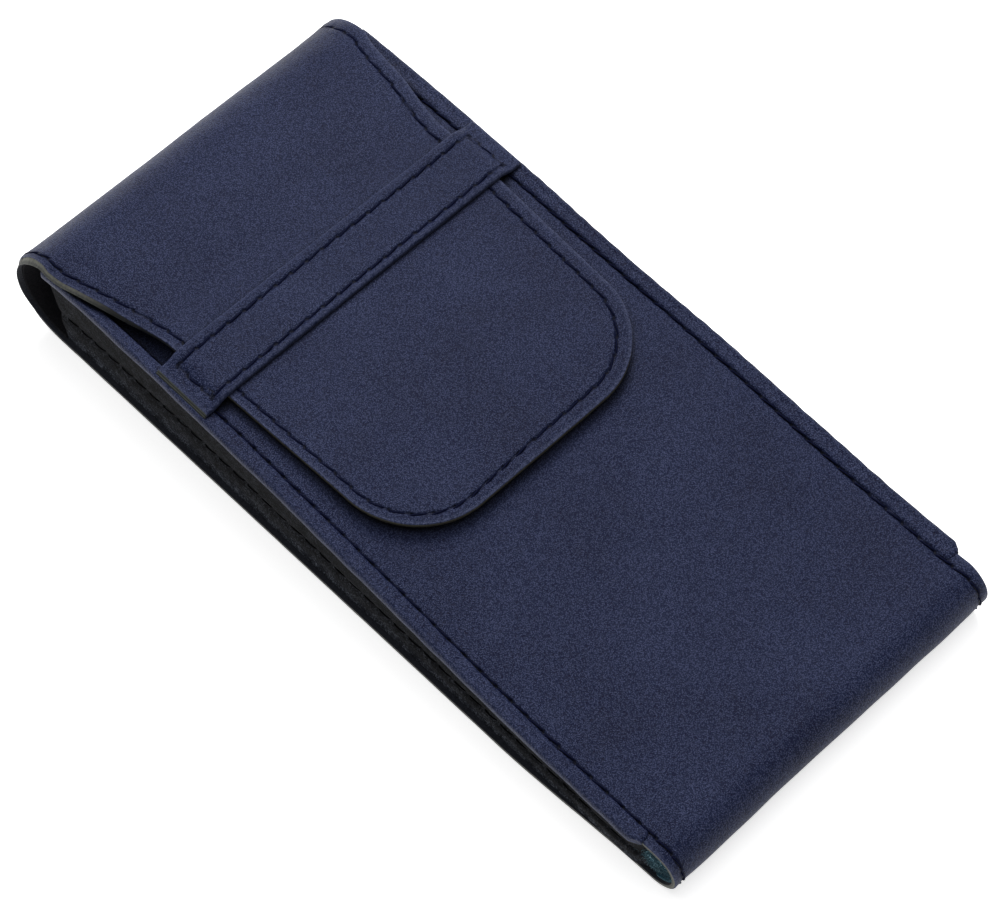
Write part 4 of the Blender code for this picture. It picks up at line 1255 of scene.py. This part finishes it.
# ------------------------------------------------------------------ lining
WARP = warp_case
fy2 = np.linspace(MOUTH_Y - 1.0 * MM, BOTTOM_Y, 200)
lin = np.concatenate([
    np.stack([fy2, front_z(fy2)], -1),
    np.stack([BOTTOM_Y - BOTTOM_R * np.sin(arc), BOTTOM_R + BOTTOM_R * np.cos(arc)], -1),
    np.stack([np.linspace(BOTTOM_Y, FOLD_Y - 0.2 * MM, 200)[1:], np.zeros(199)], -1),
])
ly_, lz_, ls_ = path_rows(lin, 1.1 * MM)
lny, lnz = path_normals(ly_, lz_, 1.0)
if lnz[10] < 0:
    lny, lnz = -lny, -lnz
on_front = ls_ < float(ls_[int(np.argmin(np.abs(ly_[: len(ly_) // 2] - HEM_END_Y)))])
on_back = (lz_ < 0.05 * MM)
lhw = np.where(on_front, LEAF_HALF_W - 0.5 * MM, np.where(on_back, GUSSET_OUT - 2.0 * MM, BOTTOM_HALF_W - 0.9 * MM))
Xl = np.array([np.linspace(-h_, h_, 90) for h_ in lhw])
Sl = np.repeat(ls_[:, None], 90, 1)
Nl = np.stack([np.zeros_like(Xl), np.repeat(lny[:, None], 90, 1), np.repeat(lnz[:, None], 90, 1)], -1)
Pl = np.stack([Xl, np.repeat(ly_[:, None], 90, 1), np.repeat(lz_[:, None], 90, 1)], -1)
Ol = Pl - Nl * (LEATHER + 0.08 * MM)
deep = LINING + 0.12 * MM * wob(Xl, Sl, 6 * MM, 81) + 0.06 * MM * wob(Xl, Sl, 2.4 * MM, 82)
Il = Ol - Nl * deep[..., None]
rest = np.stack([Xl * 1000, Sl * 1000, np.full_like(Xl, 50.0)], -1)
ob = thick_sheet("pouch_lining", Ol, Nl, LINING, [VELOUR, VELOUR, VELOUR], rest, np.full(Xl.shape, 10.0), inner_h=Il)
done(ob, "case", "teal_velour", "velour_lining")

# the lining bunches up and shows its pile in the open corners of the bottom fold
for side, tag in ((-1, "left"), (1, "right")):
    rr = np.random.default_rng(901 + side)
    nb_, na_ = 34, 30
    cy_, cz_ = BOTTOM_Y + 0.6 * MM, BOTTOM_R - 0.5 * MM
    R0 = BOTTOM_R - LEATHER - 0.35 * MM
    loops, rst = [], []
    U = np.linspace(0, 1, nb_)
    for u in U:
        rad = R0 * math.sqrt(max(0.0, 1 - u ** 2.6)) if u < 1 else 0.02 * MM
        rad = max(rad, 0.02 * MM)
        xo = 41.4 * MM + 3.7 * MM * u
        th = np.linspace(0, 2 * math.pi, na_, endpoint=False)
        stretch = np.where(np.cos(th) > 0, 1.35, 1.08)
        yy = cy_ + rad * np.cos(th) * stretch
        zz = cz_ + rad * np.sin(th)
        jit = 0.25 * MM * wob(yy * 3, zz * 3 + xo, 7 * MM, 91 + side)
        loops.append(np.stack([side * (xo + jit * (u < 0.98)), yy, zz], -1))
        rst.append(np.stack([np.full(na_, xo * 1000), yy * 1000, zz * 1000], -1))
    ob = tube_loft(f"lining_corner_{tag}", loops, [LIT_PILE], None, np.array(rst).reshape(-1, 3), None, None, 180)
    done(ob, "case", "teal_velour")
    # pile: short tapering hairs
    verts, faces, rst = [], [], []
    base = np.array(loops)
    count = 0
    for _ in range(2600):
        u = rr.uniform(0.12, 0.99) ** 0.7
        k = rr.uniform(0, na_)
        i = u * (nb_ - 1)
        i0, k0 = int(i), int(k) % na_
        i1, k1 = min(nb_ - 1, i0 + 1), (k0 + 1) % na_
        fu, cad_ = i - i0, k - int(k)
        p = (base[i0, k0] * (1 - fu) + base[i1, k0] * fu) * (1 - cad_) + (base[i0, k1] * (1 - fu) + base[i1, k1] * fu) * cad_
        c = np.array([side * 41.5 * MM, cy_, cz_])
        d_ = (p - c) * np.array([1.0, 0.55, 0.8]) + rr.normal(0, 1, 3) * 1.3 * MM
        d_ /= np.linalg.norm(d_)
        ln = rr.uniform(0.45, 1.05) * MM
        w_ = rr.uniform(0.035, 0.06) * MM
        side_v = np.cross(d_, [0.3, 0.2, 0.9])
        side_v /= np.linalg.norm(side_v)
        up_v = np.cross(side_v, d_)
        bend = rr.normal(0, 0.25, 3) * ln
        p1 = p + d_ * ln * 0.55
        p2 = p + d_ * ln + bend
        if abs(p2[0]) > 46.2 * MM:
            p2[0] = side * 46.2 * MM
        for c_, ww in ((p, w_), (p1, w_ * 0.8)):
            for k3 in range(3):
                an = 2 * math.pi * k3 / 3
                verts.append(c_ + side_v * ww * math.cos(an) + up_v * ww * math.sin(an))
        verts.append(p2)
        for k3 in range(3):
            b_ = (k3 + 1) % 3
            faces.append((count + k3, count + b_, count + 3 + b_, count + 3 + k3))
            faces.append((count + 3 + k3, count + 3 + b_, count + 6))
        faces.append((count + 2, count + 1, count))
        tone = rr.uniform(0, 60)
        rst += [(tone, tone * 1.3, j * 0.4) for j in range(7)]
        count += 7
    ob = make(f"lining_pile_{tag}", verts, faces, [LIT_PILE], None, rst, None, None, 180)
    done(ob, "case", "teal_velour")

# ------------------------------------------------------------------ floor, light, camera
WARP = None
fm = Net("pale_floor")
co = fm.node("ShaderNodeTexCoord").outputs["Object"]
fm.set("Base Color", fm.ramp(fm.noise(co, 3.0, 2.0), [(0.3, (0.86, 0.86, 0.86)), (0.7, (0.88, 0.88, 0.88))]))
fm.set("Roughness", 0.8)
fm.bsdf.inputs["Specular IOR Level"].default_value = 0.2
fm.bsdf.inputs["Emission Color"].default_value = (1, 1, 1, 1)
fm.bsdf.inputs["Emission Strength"].default_value = 0.62
bpy.ops.mesh.primitive_plane_add(size=8, location=(0, 0, -0.25 * MM))
floor = bpy.context.object
floor.name = "floor"
floor.data.materials.append(fm.mat)

world = bpy.data.worlds.new("studio")
bpy.context.scene.world = world
world.use_nodes = True
world.node_tree.nodes["Background"].inputs[0].default_value = (1.0, 1.0, 1.0, 1)
world.node_tree.nodes["Background"].inputs[1].default_value = 0.40


def area(name, loc, target, size, power, color=(1, 1, 1), shape="RECTANGLE", size_y=None):
    d = bpy.data.lights.new(name, "AREA")
    d.energy = power
    d.size = size
    d.shape = shape
    d.size_y = size_y or size
    d.color = color
    o = bpy.data.objects.new(name, d)
    bpy.context.scene.collection.objects.link(o)
    o.location = loc
    o.rotation_euler = (Vector(target) - Vector(loc)).to_track_quat("-Z", "Y").to_euler()
    return o


area("key_softbox", (0.40, 0.42, 0.66), (0, 0.04, 0.01), 0.44, 7.6, (1, 0.99, 0.98), size_y=0.44)
area("top_softbox", (0.0, 0.1, 1.3), (0, 0, 0), 1.0, 4.6, (1, 1, 1), size_y=1.0)

cam_data = bpy.data.cameras.new("camera")
cam = bpy.data.objects.new("camera", cam_data)
bpy.context.scene.collection.objects.link(cam)
az, el, dist = math.radians(-44.52227), math.radians(59.60122), 0.63622
back_v = Vector((math.sin(az) * math.cos(el), -math.cos(az) * math.cos(el), math.sin(el)))
right_v = (-back_v).cross(Vector((0, 0, 1))).normalized()
up_v = right_v.cross(-back_v)
cam.location = Vector((0, 0, 0.01)) + back_v * dist + right_v * 0.0029 + up_v * -0.0053
cam.rotation_mode = "QUATERNION"
cam.rotation_quaternion = (-back_v).to_track_quat("-Z", "Y")
cam_data.sensor_width = 36.0
cam_data.lens = 2973.536 / 1004 * 36.0
cam_data.clip_start, cam_data.clip_end = 0.01, 20
bpy.context.scene.camera = cam
bpy.context.scene.view_settings.view_transform = "Standard"
bpy.context.scene.view_settings.look = "None"
